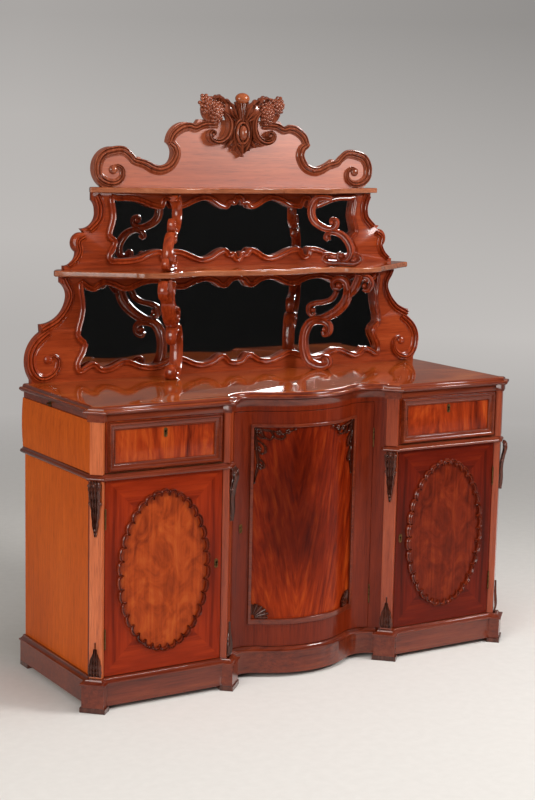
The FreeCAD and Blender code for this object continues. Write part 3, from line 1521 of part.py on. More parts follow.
# The carved cartouche, as (across, up, half width) shares of the carving's height.
CARVING_LOW = Size.crest_high - Size.cartouche_drop
CARVING_TALL = Size.finial_high - CARVING_LOW
CARVING_FOOT = Vector(0, CARVING_LOW, 0)
SCROLL_SHARES = [
    (0.445, 0.35, 0.022), (0.432, 0.3, 0.026), (0.48, 0.25, 0.03), (0.56, 0.29, 0.036), (0.59, 0.4, 0.036),
    (0.53, 0.505, 0.032), (0.4, 0.56, 0.028), (0.256, 0.53, 0.032), (0.171, 0.43, 0.036), (0.15, 0.3, 0.036),
    (0.2, 0.19, 0.032),
]
LEAF_CURL_SHARES = [(0.034, 0.594, 0.034), (0.12, 0.688, 0.034), (0.188, 0.8, 0.038), (0.235, 0.765, 0.022)]


def carving_stroke(name, shares):
    """One band of the cartouche."""
    return stroke(name, shares, CARVING_FOOT, CARVING_TALL, CARVING_TALL, "carving_stand", "board_front")


def boss(name, level, wide, tall, depth):
    """An oval boss in the middle of the crest."""
    middle = Vector(0, level, 0)
    ends = sorted((Vector(wide, level, 0), Vector(0, level + tall, 0)), key=lambda end: -(end - middle).Length)
    return prism(name, "XZ", [Part.Ellipse(ends[0], ends[1], middle)], depth, y="board_front")


# Bunches of grapes: rows of round berries that narrow towards the tip.
GRAPE_ROWS = [3, 2, 1]
GRAPE_PITCH_SHARE = 1.7


def bunch():
    """Berries of the right-hand bunch."""
    berries = []
    pitch = Size.grape_radius * GRAPE_PITCH_SHARE
    for row, count in enumerate(GRAPE_ROWS):
        for column in range(count):
            x = Size.grape_reach + (column - (count - 1) / 2) * pitch + (row - 1) * pitch / 3
            level = Size.grape_level - row * pitch
            edges = [Part.Circle(Vector(x, level, 0), UP, Size.grape_radius)]
            depth = "carving_stand - grape_rim"
            berries.append(prism("Grape%d%d" % (row, column), "XZ", edges, depth, y="board_front"))
    return berries


scroll = carving_stroke("CartoucheScroll", SCROLL_SHARES)
curl = carving_stroke("CartoucheCurl", LEAF_CURL_SHARES)
SHIELD_SHARES = [(0.0, 0.0), (0.07, 0.05), (0.2, 0.14), (0.26, 0.22), (0.17, 0.35), (0.17, 0.5), (0.08, 0.62), (0.11, 0.82)]
shield_right = [CARVING_FOOT + Vector(CARVING_TALL * across, CARVING_TALL * up, 0) for across, up in SHIELD_SHARES]
shield_left = [Vector(-spot.x, spot.y, 0) for spot in shield_right]
shield_edges = flowing(shield_left[:0:-1] + shield_right)
shield_edges.append(Part.LineSegment(shield_right[-1], shield_left[-1]))
shield = prism("Shield", "XZ", shield_edges, "carving_stand", y="board_front")
grapes = fused("GrapeBunch", bunch())
cartouche = fused("Cartouche", [
    grapes, mirrored("GrapeBunchLeft", grapes),
    shield, scroll, mirrored("CartoucheScrollLeft", scroll), curl, mirrored("CartoucheCurlLeft", curl),
    boss(
        "Cabochon", Size.cabochon_level, Size.cabochon_wide, Size.cabochon_tall,
        "carving_stand + cabochon_wide / 2",
    ),
    boss("FinialBud", Size.bud_level, Size.bud_wide, Size.bud_tall, "carving_stand"),
    boss(
        "FinialPearl", Size.finial_high - Size.pearl_tall, Size.pearl_radius, Size.pearl_tall,
        "carving_stand - grape_rim",
    ),
])
part(cartouche, "crest_cartouche")
part(pair("CrestMouldings", cut("CrestMoulding", crest_run, cartouche)), "crest_moulding")

# Scrolled brackets, as (outward, up, half width) shares of the tier's height.
LOWER_C_SHARES = [
    (0.03, 0.115, 0.015), (0.065, 0.135, 0.02), (0.087, 0.095, 0.026), (0.05, 0.046, 0.034), (-0.022, 0.04, 0.04),
    (-0.108, 0.084, 0.042), (-0.152, 0.188, 0.042), (-0.16, 0.3, 0.042), (-0.135, 0.412, 0.042),
    (-0.073, 0.49, 0.04), (0.028, 0.499, 0.036), (0.095, 0.448, 0.031), (0.095, 0.381, 0.025),
    (0.048, 0.364, 0.02), (0.034, 0.398, 0.015),
]
LOWER_SWEEP_SHARES = [
    (-0.056, 0.51, 0.028), (0.056, 0.532, 0.039), (0.168, 0.594, 0.045), (0.258, 0.692, 0.045),
    (0.291, 0.804, 0.042), (0.269, 0.896, 0.036), (0.196, 0.93, 0.031), (0.14, 0.888, 0.025),
    (0.157, 0.835, 0.02), (0.2, 0.84, 0.017),
]
LOWER_HEAD_SHARES = [(0.275, 0.76, 0.04), (0.35, 0.83, 0.045), (0.392, 0.92, 0.045), (0.41, 1.0, 0.045)]
LOWER_LEAF_SHARES = [
    (0.4, 0.94, 0.024), (0.49, 0.952, 0.025), (0.527, 0.888, 0.025), (0.493, 0.824, 0.022), (0.448, 0.824, 0.017),
]
LOWER_BRANCH_SHARES = [
    (-0.045, 0.51, 0.016), (-0.1, 0.54, 0.02), (-0.118, 0.605, 0.022), (-0.062, 0.661, 0.025),
    (0.042, 0.683, 0.025), (0.14, 0.728, 0.025), (0.18, 0.82, 0.025),
]
UPPER_C_SHARES = [
    (0.04, 0.95, 0.04), (-0.08, 0.945, 0.053), (-0.165, 0.784, 0.047), (-0.133, 0.627, 0.047),
    (-0.008, 0.535, 0.045), (0.12, 0.51, 0.036), (0.2, 0.565, 0.028), (0.18, 0.65, 0.02),
]
UPPER_BELLY_SHARES = [
    (0.05, 0.36, 0.022), (0.08, 0.44, 0.032), (0.196, 0.47, 0.043), (0.345, 0.4, 0.047),
    (0.44, 0.255, 0.047), (0.42, 0.12, 0.04), (0.34, 0.075, 0.03), (0.26, 0.11, 0.024), (0.27, 0.18, 0.02),
]
UPPER_FOOT_RUN_SHARES = [
    (0.07, 0.035, 0.042), (0.196, 0.05, 0.035), (0.353, 0.04, 0.045), (0.49, 0.05, 0.035), (0.573, 0.035, 0.043),
]


def bracket(name, runs, low_text, high_text):
    """A scrolled bracket cut from one thick board and turned to its splayed plane."""
    low = getattr(Size, low_text)
    high = getattr(Size, high_text)
    tall = high - low
    foot = Vector(0, low, 0)
    strokes = [
        stroke(name + "Stroke%d" % count, shares, foot, tall, tall, "bracket_thick", "0")
        for count, shares in enumerate(runs)
    ]
    slab = board(
        name + "Slab", "-bow_front", "-bracket_thick", low_text,
        "2 * bow_front + bracket_foot_x", "bracket_thick", high_text + " - " + low_text,
    )
    whole = doc.addObject("Part::MultiCommon", name + "Whole")
    whole.Shapes = [fused(name + "Strokes", strokes), slab]
    angle = math.radians(Size.bracket_splay)
    half = Size.bracket_thick / 2
    x = Size.bracket_foot_x + half * math.cos(angle)
    y = -Size.bracket_foot_front + half * math.sin(angle)
    turn = FreeCAD.Rotation(UP, Size.bracket_splay - 90)
    whole.Placement = FreeCAD.Placement(Vector(x, y, 0), turn)
    return whole


lower_bracket = bracket("LowerBracket", [
    LOWER_C_SHARES, LOWER_SWEEP_SHARES, LOWER_HEAD_SHARES, LOWER_LEAF_SHARES, LOWER_BRANCH_SHARES,
], "top_level", "lower_shelf_low")
part(pair("LowerBrackets", lower_bracket), "lower_brackets")
upper_bracket = bracket("UpperBracket", [
    UPPER_C_SHARES, UPPER_BELLY_SHARES, UPPER_FOOT_RUN_SHARES,
], "lower_shelf_high", "upper_shelf_low")
part(pair("UpperBrackets", upper_bracket), "upper_brackets")

# A small brass hook on the left side, under the top.
hook_face = "-(case_half + neck_proud)"
hook_plate = board(
    "HookPlate", hook_face + " - hook_plate_thick", "-hook_front - hook_plate_wide / 2",
    "hook_level - hook_plate_tall / 2",
    "hook_plate_thick", "hook_plate_wide", "hook_plate_tall",
)
hook_post = doc.addObject("Part::Cylinder", "HookPost")
hook_post.setExpression("Radius", bound("hook_post"))
hook_post.setExpression("Height", bound("hook_reach"))
hook_x = -(Size.case_half + Size.neck_proud + Size.hook_plate_thick)
hook_post.Placement = FreeCAD.Placement(
    Vector(hook_x, -Size.hook_front, Size.hook_level), FreeCAD.Rotation(Vector(0, 1, 0), -90),
)
part(fused("SideHook", [hook_plate, hook_post]), "side_hook")

doc.recompute()

for item in doc.Objects:
    if "Invalid" in item.State or "Error" in item.State:
        raise RuntimeError("%s did not compute: %s" % (item.Label, item.State))
for item in PARTS:
    shape = item.Shape
    if shape.isNull() or not shape.isValid():
        raise RuntimeError("%s has no valid shape" % item.Label)
for item in PARTS:
    item.Shape.exportStep("parts/%s.step" % item.Label)
    print("%-24s %2d solids %12.0f mm3" % (item.Label, len(item.Shape.Solids), item.Shape.Volume))
print(len(PARTS), "sub-parts")
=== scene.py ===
# %% [markdown]
# # A mahogany sideboard with mirrored shelves
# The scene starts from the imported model, the frame. Every part of the sideboard is already there,
# in metres, and this script only dresses it: it gives woods to the boards, and puts carved pieces
# in the place of the plain ones. Nothing is moved, so each new piece takes its place from the frame.

# %%
# The frame
import json
import math

import bmesh
import bpy
from mathutils import Matrix, Vector
from mathutils.geometry import interpolate_bezier


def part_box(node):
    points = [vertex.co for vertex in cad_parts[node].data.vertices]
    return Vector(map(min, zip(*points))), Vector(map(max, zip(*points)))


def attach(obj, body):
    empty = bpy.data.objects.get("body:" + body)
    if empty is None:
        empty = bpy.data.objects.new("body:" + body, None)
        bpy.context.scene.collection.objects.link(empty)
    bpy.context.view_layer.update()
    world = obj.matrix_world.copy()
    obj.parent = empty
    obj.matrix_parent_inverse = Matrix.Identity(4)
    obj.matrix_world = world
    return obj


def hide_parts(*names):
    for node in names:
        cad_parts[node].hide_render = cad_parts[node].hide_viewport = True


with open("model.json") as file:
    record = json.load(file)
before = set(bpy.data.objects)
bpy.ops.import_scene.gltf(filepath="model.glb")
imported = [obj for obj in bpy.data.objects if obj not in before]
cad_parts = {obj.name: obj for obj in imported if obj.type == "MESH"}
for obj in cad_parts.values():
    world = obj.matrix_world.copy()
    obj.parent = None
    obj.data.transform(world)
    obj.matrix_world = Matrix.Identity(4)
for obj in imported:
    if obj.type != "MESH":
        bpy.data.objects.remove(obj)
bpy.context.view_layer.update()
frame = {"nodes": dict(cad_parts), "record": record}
BODY_OF = {
    node: body
    for body, nodes in frame["record"]["behaviour"]["bodies"].items()
    for node in nodes
}

# %% [markdown]
# ## Shader nodes in one line each
# A material is a small network. A helper that adds one node, sets its choices and fills or links its
# inputs keeps each network readable from top to bottom.

# %%
# A helper for shader nodes
def add(tree, kind, sockets=(), **settings):
    """One shader node. Sockets are pairs of an input and its value, or the output linked to it."""
    made = tree.nodes.new("ShaderNode" + kind)
    for name, value in settings.items():
        setattr(made, name, value)
    for key, value in sockets:
        if isinstance(value, bpy.types.NodeSocket):
            tree.links.new(value, made.inputs[key])
        else:
            made.inputs[key].default_value = value
    return made


def ramp(tree, factor, stops):
    """A colour ramp from pairs of a position and a colour."""
    made = add(tree, "ValToRGB", [("Fac", factor)])
    elements = made.color_ramp.elements
    while len(elements) < len(stops):
        elements.new(0.5)
    for element, (position, colour) in zip(elements, stops):
        element.position = position
        element.color = (*colour, 1.0)
    return made.outputs["Color"]


# %% [markdown]
# ## What every finish needs
# Each finish here starts from the same shader, reads places on the object, and blends noise made from
# them. These helpers hold one such step each, so that a finish is only a list of its own steps.

# %%
# Places and noise
def started(title):
    """A new material with its tree and its shader, and the place of a point on the object."""
    material = bpy.data.materials.new(title)
    material.use_nodes = True
    tree = material.node_tree
    return material, tree, tree.nodes["Principled BSDF"], add(tree, "TexCoord").outputs["Object"]


def noise(tree, place, scale, detail, roughness=0.5, distortion=0.0):
    """Noise from 0 to 1; scale is about the number of its waves in a metre."""
    return add(tree, "TexNoise", [
        ("Vector", place), ("Scale", scale), ("Detail", detail), ("Roughness", roughness),
        ("Distortion", distortion),
    ]).outputs["Fac"]


def stretched(tree, place, scale):
    """Places with a scale for each axis; noise on them is drawn out where the scale is small."""
    return add(tree, "Mapping", [("Vector", place), ("Scale", scale)]).outputs["Vector"]


def folded_on(tree, place, centre):
    """Places measured from a centre, and the same with their four quarters laid onto one."""
    local = add(tree, "VectorMath", [(0, place), (1, [-part for part in centre])]).outputs["Vector"]
    return local, add(tree, "VectorMath", [(0, local)], operation="ABSOLUTE").outputs["Vector"]


# %%
# Blends, arithmetic and tones
MIX_SOCKETS = {"FLOAT": (2, 3, 0), "VECTOR": (4, 5, 1), "RGBA": (6, 7, 2)}  # both inputs, and the output


def mix(tree, kind, share, first, second, blend="MIX"):
    """A blend of two numbers, vectors or colours."""
    one, two, out = MIX_SOCKETS[kind]
    sockets = [(0, share), (one, first), (two, second)]
    return add(tree, "Mix", sockets, data_type=kind, blend_type=blend).outputs[out]


def reckon(tree, operation, *values):
    """One step of arithmetic."""
    return add(tree, "Math", enumerate(values), operation=operation).outputs["Value"]


def between(tree, value, low, high):
    """0 at the low value and 1 at the high one."""
    sockets = [("Value", value), ("From Min", low), ("From Max", high)]
    return add(tree, "MapRange", sockets).outputs["Result"]


def tinted(tree, factor, tones, low, spread):
    """A colour ramp with its tones at equal steps from a low position."""
    last = len(tones) - 1
    return ramp(tree, factor, [(low + spread * step / last, tone) for step, tone in enumerate(tones)])


# %%
# Roughness, relief and polish
def roughened(tree, shader, figure, low, high):
    """A roughness that follows the figure."""
    rough = add(tree, "MapRange", [("Value", figure), ("To Min", low), ("To Max", high)])
    tree.links.new(rough.outputs["Result"], shader.inputs["Roughness"])


def relief(tree, shader, height, strength, distance):
    """A fine relief that only turns the light."""
    bump = add(tree, "Bump", [("Strength", strength), ("Distance", distance), ("Height", height)])
    tree.links.new(bump.outputs["Normal"], shader.inputs["Normal"])


def polished(shader, roughness, sheen, coat, gloss):
    """The numbers of a polish that are the same all over; gloss is the roughness of the coat."""
    for socket, value in (
        ("Roughness", roughness), ("Specular IOR Level", sheen), ("Coat Weight", coat),
        ("Coat Roughness", gloss),
    ):
        shader.inputs[socket].default_value = value


# %% [markdown]
# ## Polished mahogany
# Cut mahogany shows long dark fibres, a slow cloudy figure that runs across them, and fine open
# pores. A photograph of wood would do it, but noise that is stretched along the grain gives the same
# three layers at any size and on any face. The polish is a thin clear coat over a dull brown base.

# %%
# The wood recipe
WHITE = (1.0, 1.0, 1.0)


def wood(
    title, tones, grain=2, figure=3.0, swirl=1.2, contrast=0.5, polish=0.3, coat=0.2, gloss=0.12,
    wax_and_shade=0.0, sheen=0.12,
):
    """Wood whose fibres run along one axis; tones go from its dark lines to its light figure."""
    material, tree, shader, place = started(title)
    fibres, clouds = (
        stretched(tree, place, [share if axis == grain else 1.0 for axis in range(3)])
        for share in (0.05, 0.4)
    )
    line = noise(tree, fibres, 85.0, 7.0, 0.62, 0.15)
    pore = noise(tree, fibres, 420.0, 2.0)
    drift = noise(tree, clouds, figure, 5.0, 0.55, swirl)
    colour = tinted(tree, mix(tree, "FLOAT", contrast, line, drift), tones, 0.34, 0.34)
    dark = ramp(tree, pore, [(0.3, (0.62, 0.58, 0.55)), (0.46, WHITE)])
    colour = mix(tree, "RGBA", 0.8, colour, dark, "MULTIPLY")
    # Ambient occlusion darkens the hollows of carvings: dark wax there, and painted shade.
    if wax_and_shade:
        hollow = add(tree, "AmbientOcclusion", [("Distance", 0.012)], samples=8).outputs["AO"]
        shade = ramp(tree, hollow, [(0.25, (0.2, 0.16, 0.14)), (0.85, WHITE)])
        colour = mix(tree, "RGBA", wax_and_shade, colour, shade, "MULTIPLY")
    tree.links.new(colour, shader.inputs["Base Color"])
    polished(shader, polish, sheen, coat, gloss)
    roughened(tree, shader, line, polish * 0.8, polish * 1.3)
    relief(tree, shader, line, 0.12, 0.0006)
    return material


# %%
# The woods of this sideboard
SIDE = wood(
    "side_veneer", [(0.45, 0.072, 0.006), (0.57, 0.1, 0.009), (0.68, 0.137, 0.014)],
    figure=1.6, coat=0.04, sheen=0.06,
)
STILE = wood(
    "straight_mahogany", [(0.1, 0.009, 0.002), (0.16, 0.016, 0.003), (0.22, 0.026, 0.006)],
    contrast=0.4, coat=0.25,
)
# A lighter copy of the pilaster wood, for the left corner pilaster: a painted highlight.
LIT_PILASTER = wood(
    "lit_pilaster_mahogany", [(0.4, 0.085, 0.025), (0.58, 0.14, 0.045), (0.68, 0.19, 0.07)], coat=0.8,
)
RED_PILASTER = wood(
    "red_pilaster", [(0.2, 0.026, 0.007), (0.32, 0.05, 0.014), (0.42, 0.08, 0.024)], coat=0.8,
)
RAIL = wood("rail_mahogany", [(0.05, 0.007, 0.003), (0.12, 0.018, 0.007), (0.2, 0.036, 0.012)], grain=0)
MOULDING = wood(
    "moulding_mahogany", [(0.07, 0.009, 0.004), (0.16, 0.024, 0.008), (0.24, 0.044, 0.014)],
    grain=0, coat=0.8,
)
EDGE = wood(
    "shelf_edge", [(0.18, 0.05, 0.02), (0.32, 0.1, 0.044), (0.44, 0.16, 0.08)],
    grain=0, coat=1.0, polish=0.2,
)
TOP = wood(
    "top_veneer", [(0.16, 0.022, 0.004), (0.36, 0.066, 0.012), (0.5, 0.12, 0.022)],
    grain=0, figure=3.4, swirl=2.4, contrast=0.6, polish=0.09, coat=0.6, gloss=0.05,
)
CREST = wood(
    "crest_mahogany", [(0.26, 0.046, 0.013), (0.38, 0.08, 0.023), (0.48, 0.12, 0.036)],
    grain=0, coat=1.0, gloss=0.33,
)
CREST.node_tree.nodes["Principled BSDF"].inputs["Coat IOR"].default_value = 2.0
BACK = wood(
    "backboard_mahogany", [(0.14, 0.017, 0.004), (0.26, 0.036, 0.008), (0.36, 0.06, 0.014)],
    grain=0, coat=0.3,
)
FIELD = wood(
    "drawer_veneer", [(0.08, 0.006, 0.001), (0.28, 0.028, 0.004), (0.5, 0.085, 0.012)],
    figure=7.0, swirl=3.0, contrast=0.7,
)
CARVING = wood(
    "carved_mahogany", [(0.12, 0.024, 0.01), (0.25, 0.06, 0.026), (0.38, 0.11, 0.05)],
    coat=1.0, polish=0.2, wax_and_shade=0.3, contrast=0.4,
)
SCROLLWORK = wood(
    "scrolled_mahogany", [(0.12, 0.012, 0.003), (0.28, 0.036, 0.008), (0.4, 0.065, 0.015)],
    coat=0.9, polish=0.22, wax_and_shade=0.38, contrast=0.35,
)
SHELLS = wood(
    "shell_mahogany", [(0.07, 0.007, 0.002), (0.17, 0.02, 0.006), (0.26, 0.04, 0.012)],
    coat=1.0, polish=0.16, wax_and_shade=0.5, contrast=0.35,
)
DARK_CARVING = wood(
    "dark_carving", [(0.035, 0.009, 0.005), (0.09, 0.022, 0.012), (0.16, 0.042, 0.022)],
    coat=0.8, polish=0.26, wax_and_shade=0.6, contrast=0.4,
)
KNOB = wood(
    "polished_knob", [(0.2, 0.04, 0.012), (0.34, 0.085, 0.026), (0.46, 0.13, 0.04)],
    coat=1.0, polish=0.2,
)
INNER = wood(
    "inner_pine", [(0.36, 0.2, 0.1), (0.5, 0.31, 0.16), (0.6, 0.4, 0.22)],
    grain=0, polish=0.6, coat=0.0,
)
print("woods", len([item for item in bpy.data.materials if item.use_nodes]))

# %% [markdown]
# ## The quartered doors
# Each side door has a field of four sheets of veneer, cut from one leaf and turned so that their
# grain meets in mitres, round an oval of cloudy figure. The place of a point decides which wood it
# shows: its distance from the oval's centre, in ovals, is under one inside, and the absolute value of
# its place folds the four quarters onto one.

# %%
# The door veneer
MITRE = 0.315 - 0.210  # the doors are taller than wide, so the mitres meet above and below the middle


def quartered(title, centre, half_wide, half_tall, outer, inner):
    """A field of four mirrored sheets round an oval; centre is on the door's face."""
    material, tree, shader, place = started(title)
    local, folded = folded_on(tree, place, (centre[0], 0.0, centre[1]))
    parts = add(tree, "SeparateXYZ", [("Vector", folded)]).outputs
    is_head = reckon(tree, "GREATER_THAN", reckon(tree, "SUBTRACT", parts["Z"], MITRE), parts["X"])
    upright = stretched(tree, folded, (1.0, 1.0, 0.06))
    level = stretched(tree, folded, (0.06, 1.0, 1.0))
    grain = mix(tree, "VECTOR", is_head, upright, level)
    line = noise(tree, grain, 70.0, 6.0, 0.6, 0.3)
    band = noise(tree, grain, 14.0, 3.0, distortion=0.8)
    field = tinted(tree, mix(tree, "FLOAT", 0.45, line, band), outer, 0.34, 0.34)
    cloud = noise(tree, stretched(tree, local, (1.0, 1.0, 0.6)), 14.0, 6.0, 0.62, 1.6)
    fine = noise(tree, upright, 90.0, 5.0)
    oval = tinted(tree, mix(tree, "FLOAT", 0.35, cloud, fine), inner, 0.36, 0.34)
    in_ovals = stretched(tree, local, (1 / half_wide, 0.0, 1 / half_tall))
    reach = add(tree, "VectorMath", [(0, in_ovals)], operation="LENGTH").outputs["Value"]
    is_out = reckon(tree, "GREATER_THAN", reach, 1.0)
    tree.links.new(mix(tree, "RGBA", is_out, oval, field), shader.inputs["Base Color"])
    relief(tree, shader, line, 0.1, 0.0005)
    polished(shader, 0.28, 0.08, 0.1, 0.1)
    return material


OVAL_HALF_WIDE = 0.1664
OVAL_HALF_TALL = 0.264
OVAL_X = 0.561
OVAL_Z = 0.426
FIELDS = {
    "left": [(0.12, 0.008, 0.001), (0.25, 0.02, 0.003), (0.36, 0.04, 0.006)],
    "right": [(0.05, 0.004, 0.001), (0.12, 0.008, 0.002), (0.19, 0.018, 0.003)],
}
OVALS = {
    "left": [(0.15, 0.016, 0.003), (0.34, 0.048, 0.007), (0.46, 0.092, 0.015)],
    "right": [(0.06, 0.005, 0.001), (0.15, 0.014, 0.003), (0.24, 0.033, 0.006)],
}
OVAL_LAP = 0.012  # the shells cover this much of the oval's edge
DOORS = {
    side + "_door": quartered(
        side + "_door_veneer", (sign * OVAL_X, OVAL_Z), OVAL_HALF_WIDE - OVAL_LAP,
        OVAL_HALF_TALL - OVAL_LAP, FIELDS[side], OVALS[side],
    )
    for side, sign in (("left", -1), ("right", 1))
}

# %% [markdown]
# ## The flame of the bay door
# Where a trunk forks, the fibres fan out of one spine like a flame. The place is folded on the spine,
# so both halves mirror each other as in a forked trunk, and turned, so the streaks climb outwards. A
# dark plume stands over the spine. The foot of the panel is painted brightest, as a highlight, and
# the top a little darker, as painted shade.

# %%
# The flame veneer
BLACK = (0.0, 0.0, 0.0)


def flame(title, spine, tones):
    """A forked figure about an upright spine, given by its place across."""
    material, tree, shader, place = started(title)
    folded = folded_on(tree, place, (spine, 0.0, 0.0))[1]
    sockets = [("Vector", folded), ("Rotation", (0.0, -0.2, 0.0))]
    streak = stretched(tree, add(tree, "Mapping", sockets).outputs["Vector"], (1.0, 1.0, 0.11))
    line = noise(tree, streak, 75.0, 7.0, 0.6, 0.4)
    tongue = noise(tree, streak, 15.0, 5.0, 0.6, 2.6)
    colour = tinted(tree, mix(tree, "FLOAT", 0.55, line, tongue), tones, 0.36, 0.3)
    parts = add(tree, "SeparateXYZ", [("Vector", folded)]).outputs
    waver = reckon(tree, "MULTIPLY_ADD", noise(tree, place, 7.0, 3.0), 0.22, -0.11)
    reach = reckon(tree, "ADD", parts["X"], waver)
    across = ramp(tree, reach, [(0.0, WHITE), (0.04, WHITE), (0.11, BLACK)])
    up = ramp(tree, parts["Z"], [(0.3, BLACK), (0.45, WHITE), (0.7, WHITE), (0.84, BLACK)])
    plume = reckon(tree, "MULTIPLY", across, up)
    # Painted light: the foot of the panel is lightened as a highlight, and the top a little darkened as
    # shade.
    foot = ramp(tree, parts["Z"], [(0.2, (1.5, 1.8, 1.6)), (0.42, WHITE), (1.0, (0.85, 0.8, 0.8))])
    colour = mix(tree, "RGBA", 1.0, colour, foot, "MULTIPLY")
    colour = mix(tree, "RGBA", plume, colour, (0.5, 0.42, 0.36, 1.0), "MULTIPLY")
    tree.links.new(colour, shader.inputs["Base Color"])
    polished(shader, 0.3, 0.06, 0.1, 0.12)
    return material


SPINE = -0.055
FLAME = flame("flame_veneer", SPINE, [(0.08, 0.005, 0.001), (0.19, 0.015, 0.002), (0.32, 0.044, 0.006)])

# %% [markdown]
# ## Metal and glass
# The keyhole plates, hinges and the small hook are brass, and the bolts are steel. The mirrors are
# silvered glass. In a studio they look black because they face the unlit part of the room.

# %%
# Brass, steel and mirror
def metal(title, colour, roughness, spots):
    """A metal with a slightly uneven polish and darker spots."""
    material, tree, shader, place = started(title)
    stain = noise(tree, place, 140.0, 4.0)
    tone = ramp(tree, stain, [(0.35, tuple(part * spots for part in colour)), (0.6, colour)])
    tree.links.new(tone, shader.inputs["Base Color"])
    roughened(tree, shader, stain, roughness * 1.4, roughness * 0.85)
    shader.inputs["Metallic"].default_value = 1.0
    return material


BRASS = metal("old_brass", (0.2, 0.11, 0.04), 0.4, 0.4)
STEEL = metal("steel", (0.42, 0.41, 0.4), 0.35, 0.6)
SILVER = metal("mirror_glass", (0.78, 0.8, 0.8), 0.03, 0.93)

# %% [markdown]
# ## Dressing the boards
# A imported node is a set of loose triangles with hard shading. A copy of it can be merged, its flat
# faces joined and its arrises eased a little, as a cabinet maker does with fine paper, because a
# perfectly sharp edge catches no light. The copy then stands in for the node.

# %%
# A dressed copy of a node
SAME = 0.000002  # points closer than this are one point
BOARD_ANGLE = 32  # on a board, edges sharper than this stay crisp


def shown(bm, title, *materials):
    """Turns a bmesh into an object of the scene."""
    mesh = bpy.data.meshes.new(title)
    bm.to_mesh(mesh)
    bm.free()
    for material in materials:
        mesh.materials.append(material)
    piece = bpy.data.objects.new(title, mesh)
    bpy.context.scene.collection.objects.link(piece)
    return piece


def mounted(bm, title, body, slot, angle, *materials):
    """A piece that rides on a body, shaded smooth up to an angle in degrees."""
    piece = shown(bm, title, *materials)
    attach(piece, body)
    piece.data.shade_smooth()
    piece.data.set_sharp_from_angle(angle=math.radians(angle))
    return piece


def merged(node):
    """A bmesh copy of a node with its loose triangles joined."""
    bm = bmesh.new()
    bm.from_mesh(frame["nodes"][node].data)
    bmesh.ops.remove_doubles(bm, verts=bm.verts, dist=SAME)
    return bm


def dressed(node, slot, *materials, ease=0.0008, segments=2, choose=None):
    """A merged copy of a node with eased arrises; choose gives a face's material."""
    bm = merged(node)
    bmesh.ops.dissolve_limit(bm, angle_limit=math.radians(0.6), verts=bm.verts, edges=bm.edges)
    if choose:
        for face in bm.faces:
            face.material_index = choose(face.calc_center_median(), face.normal)
    piece = mounted(bm, node + "_dressed", BODY_OF[node], slot, BOARD_ANGLE, *materials)
    if ease:
        bevel = piece.modifiers.new("eased", "BEVEL")
        bevel.width = ease
        bevel.segments = segments
        bevel.limit_method = "ANGLE"
        bevel.angle_limit = math.radians(40)
        bevel.harden_normals = True
    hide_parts(node)


# %% [markdown]
# ## The carcase
# The sides, stiles and pilasters have upright grain and the rails and plinths have level grain. The
# neck moulding and the top share one node with several solids, so a face's place picks its wood.

# %%
# Carcase boards
def edge_wood(place, normal):
    """The top shows its veneer; the edges and the underside are solid wood."""
    return int(normal.z < 0.9)


def pilaster_wood(place, normal):
    """The pilaster on the left corner gets a lighter copy of the wood, a painted highlight, and the others
    are red.
    """
    return int(place.x > -0.5)


for node in ("left_outer_side", "right_outer_side", "side_friezes"):
    dressed(node, "mahogany", SIDE)
for node in ("corner_posts", "centre_stiles"):
    dressed(node, "mahogany", STILE)
dressed("pilasters", "mahogany", LIT_PILASTER, RED_PILASTER, ease=0.0012, choose=pilaster_wood)
dressed("centre_rail", "mahogany", STILE)
for node in ("pedestal_plinths", "centre_plinth", "waist_mouldings", "frieze_mouldings"):
    dressed(node, "mahogany", MOULDING, ease=0.0006)
dressed("table_top", "mahogany", TOP, MOULDING, ease=0, choose=edge_wood)
print("carcase dressed")

# %% [markdown]
# ## The doors
# The side doors are flat boards with the quartered veneer. On the bay door a flame veneer fills the
# sunk panel and the frame round it is plain.

# %%
# Doors
PANEL_HALF = 0.199
PANEL_LOW, PANEL_HIGH = 0.201, 0.85


def bay_wood(place, normal):
    """The sunk panel is flame veneer."""
    in_panel = abs(place.x) < PANEL_HALF and PANEL_LOW < place.z < PANEL_HIGH
    return int(not (in_panel and normal.y < -0.3))


for side in ("left", "right"):
    dressed(side + "_door", "mahogany", DOORS[side + "_door"], ease=0.001)
dressed("centre_door", "mahogany", FLAME, STILE, ease=0.0006, choose=bay_wood)
dressed("centre_door_beads", "mahogany", MOULDING, ease=0.0025)
print("doors dressed")

# %% [markdown]
# ## The upper part and the inside
# The shaped backboards and shelves are cut from figured boards. Inside are pine boards, which keep
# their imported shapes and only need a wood.

# %%
# Boards of the upper part, and the rest
dressed("crest_board", "mahogany", CREST)
for node in ("lower_shelf", "upper_shelf"):
    dressed(node, "mahogany", TOP, EDGE, ease=0.0085, segments=4, choose=edge_wood)

PLAIN = {
    "mahogany": RAIL, "carving": DARK_CARVING, "pine": INNER, "mirror": SILVER, "brass": BRASS,
    "steel": STEEL,
}
for row in frame["record"]["subparts"]:
    piece = frame["nodes"][row["node"]]
    piece.data.materials.clear()
    piece.data.materials.append(RAIL if row["node"] == "cupboard_bottoms" else PLAIN[row["material_slot"]])
print("plain nodes finished")

# %% [markdown]
# ## Sweeping a section along a line
# Mouldings and scrolls are one carved section that follows a curved line and changes width on the
# way. A curve object could do it, but its section keeps one proportion. Here the section is a ring of
# edges that is extruded from station to station, so that its width and height follow the carving.

# %%
# Smooth lines
def smooth_line(knots, closed=False, fine=6):
    """Points on a smooth curve through the knots, by one Bezier piece for each pair."""
    count = len(knots)
    line = []
    for step in range(count if closed else count - 1):
        ends = [step - 1, step, step + 1, step + 2]
        ends = [end % count if closed else min(max(end, 0), count - 1) for end in ends]
        before, start, end, after = (knots[place] for place in ends)
        pulls = start + (end - before) / 6, end - (after - start) / 6
        line += interpolate_bezier(start, *pulls, end, fine + 1)[:-1]
    return line if closed else line + [knots[-1]]


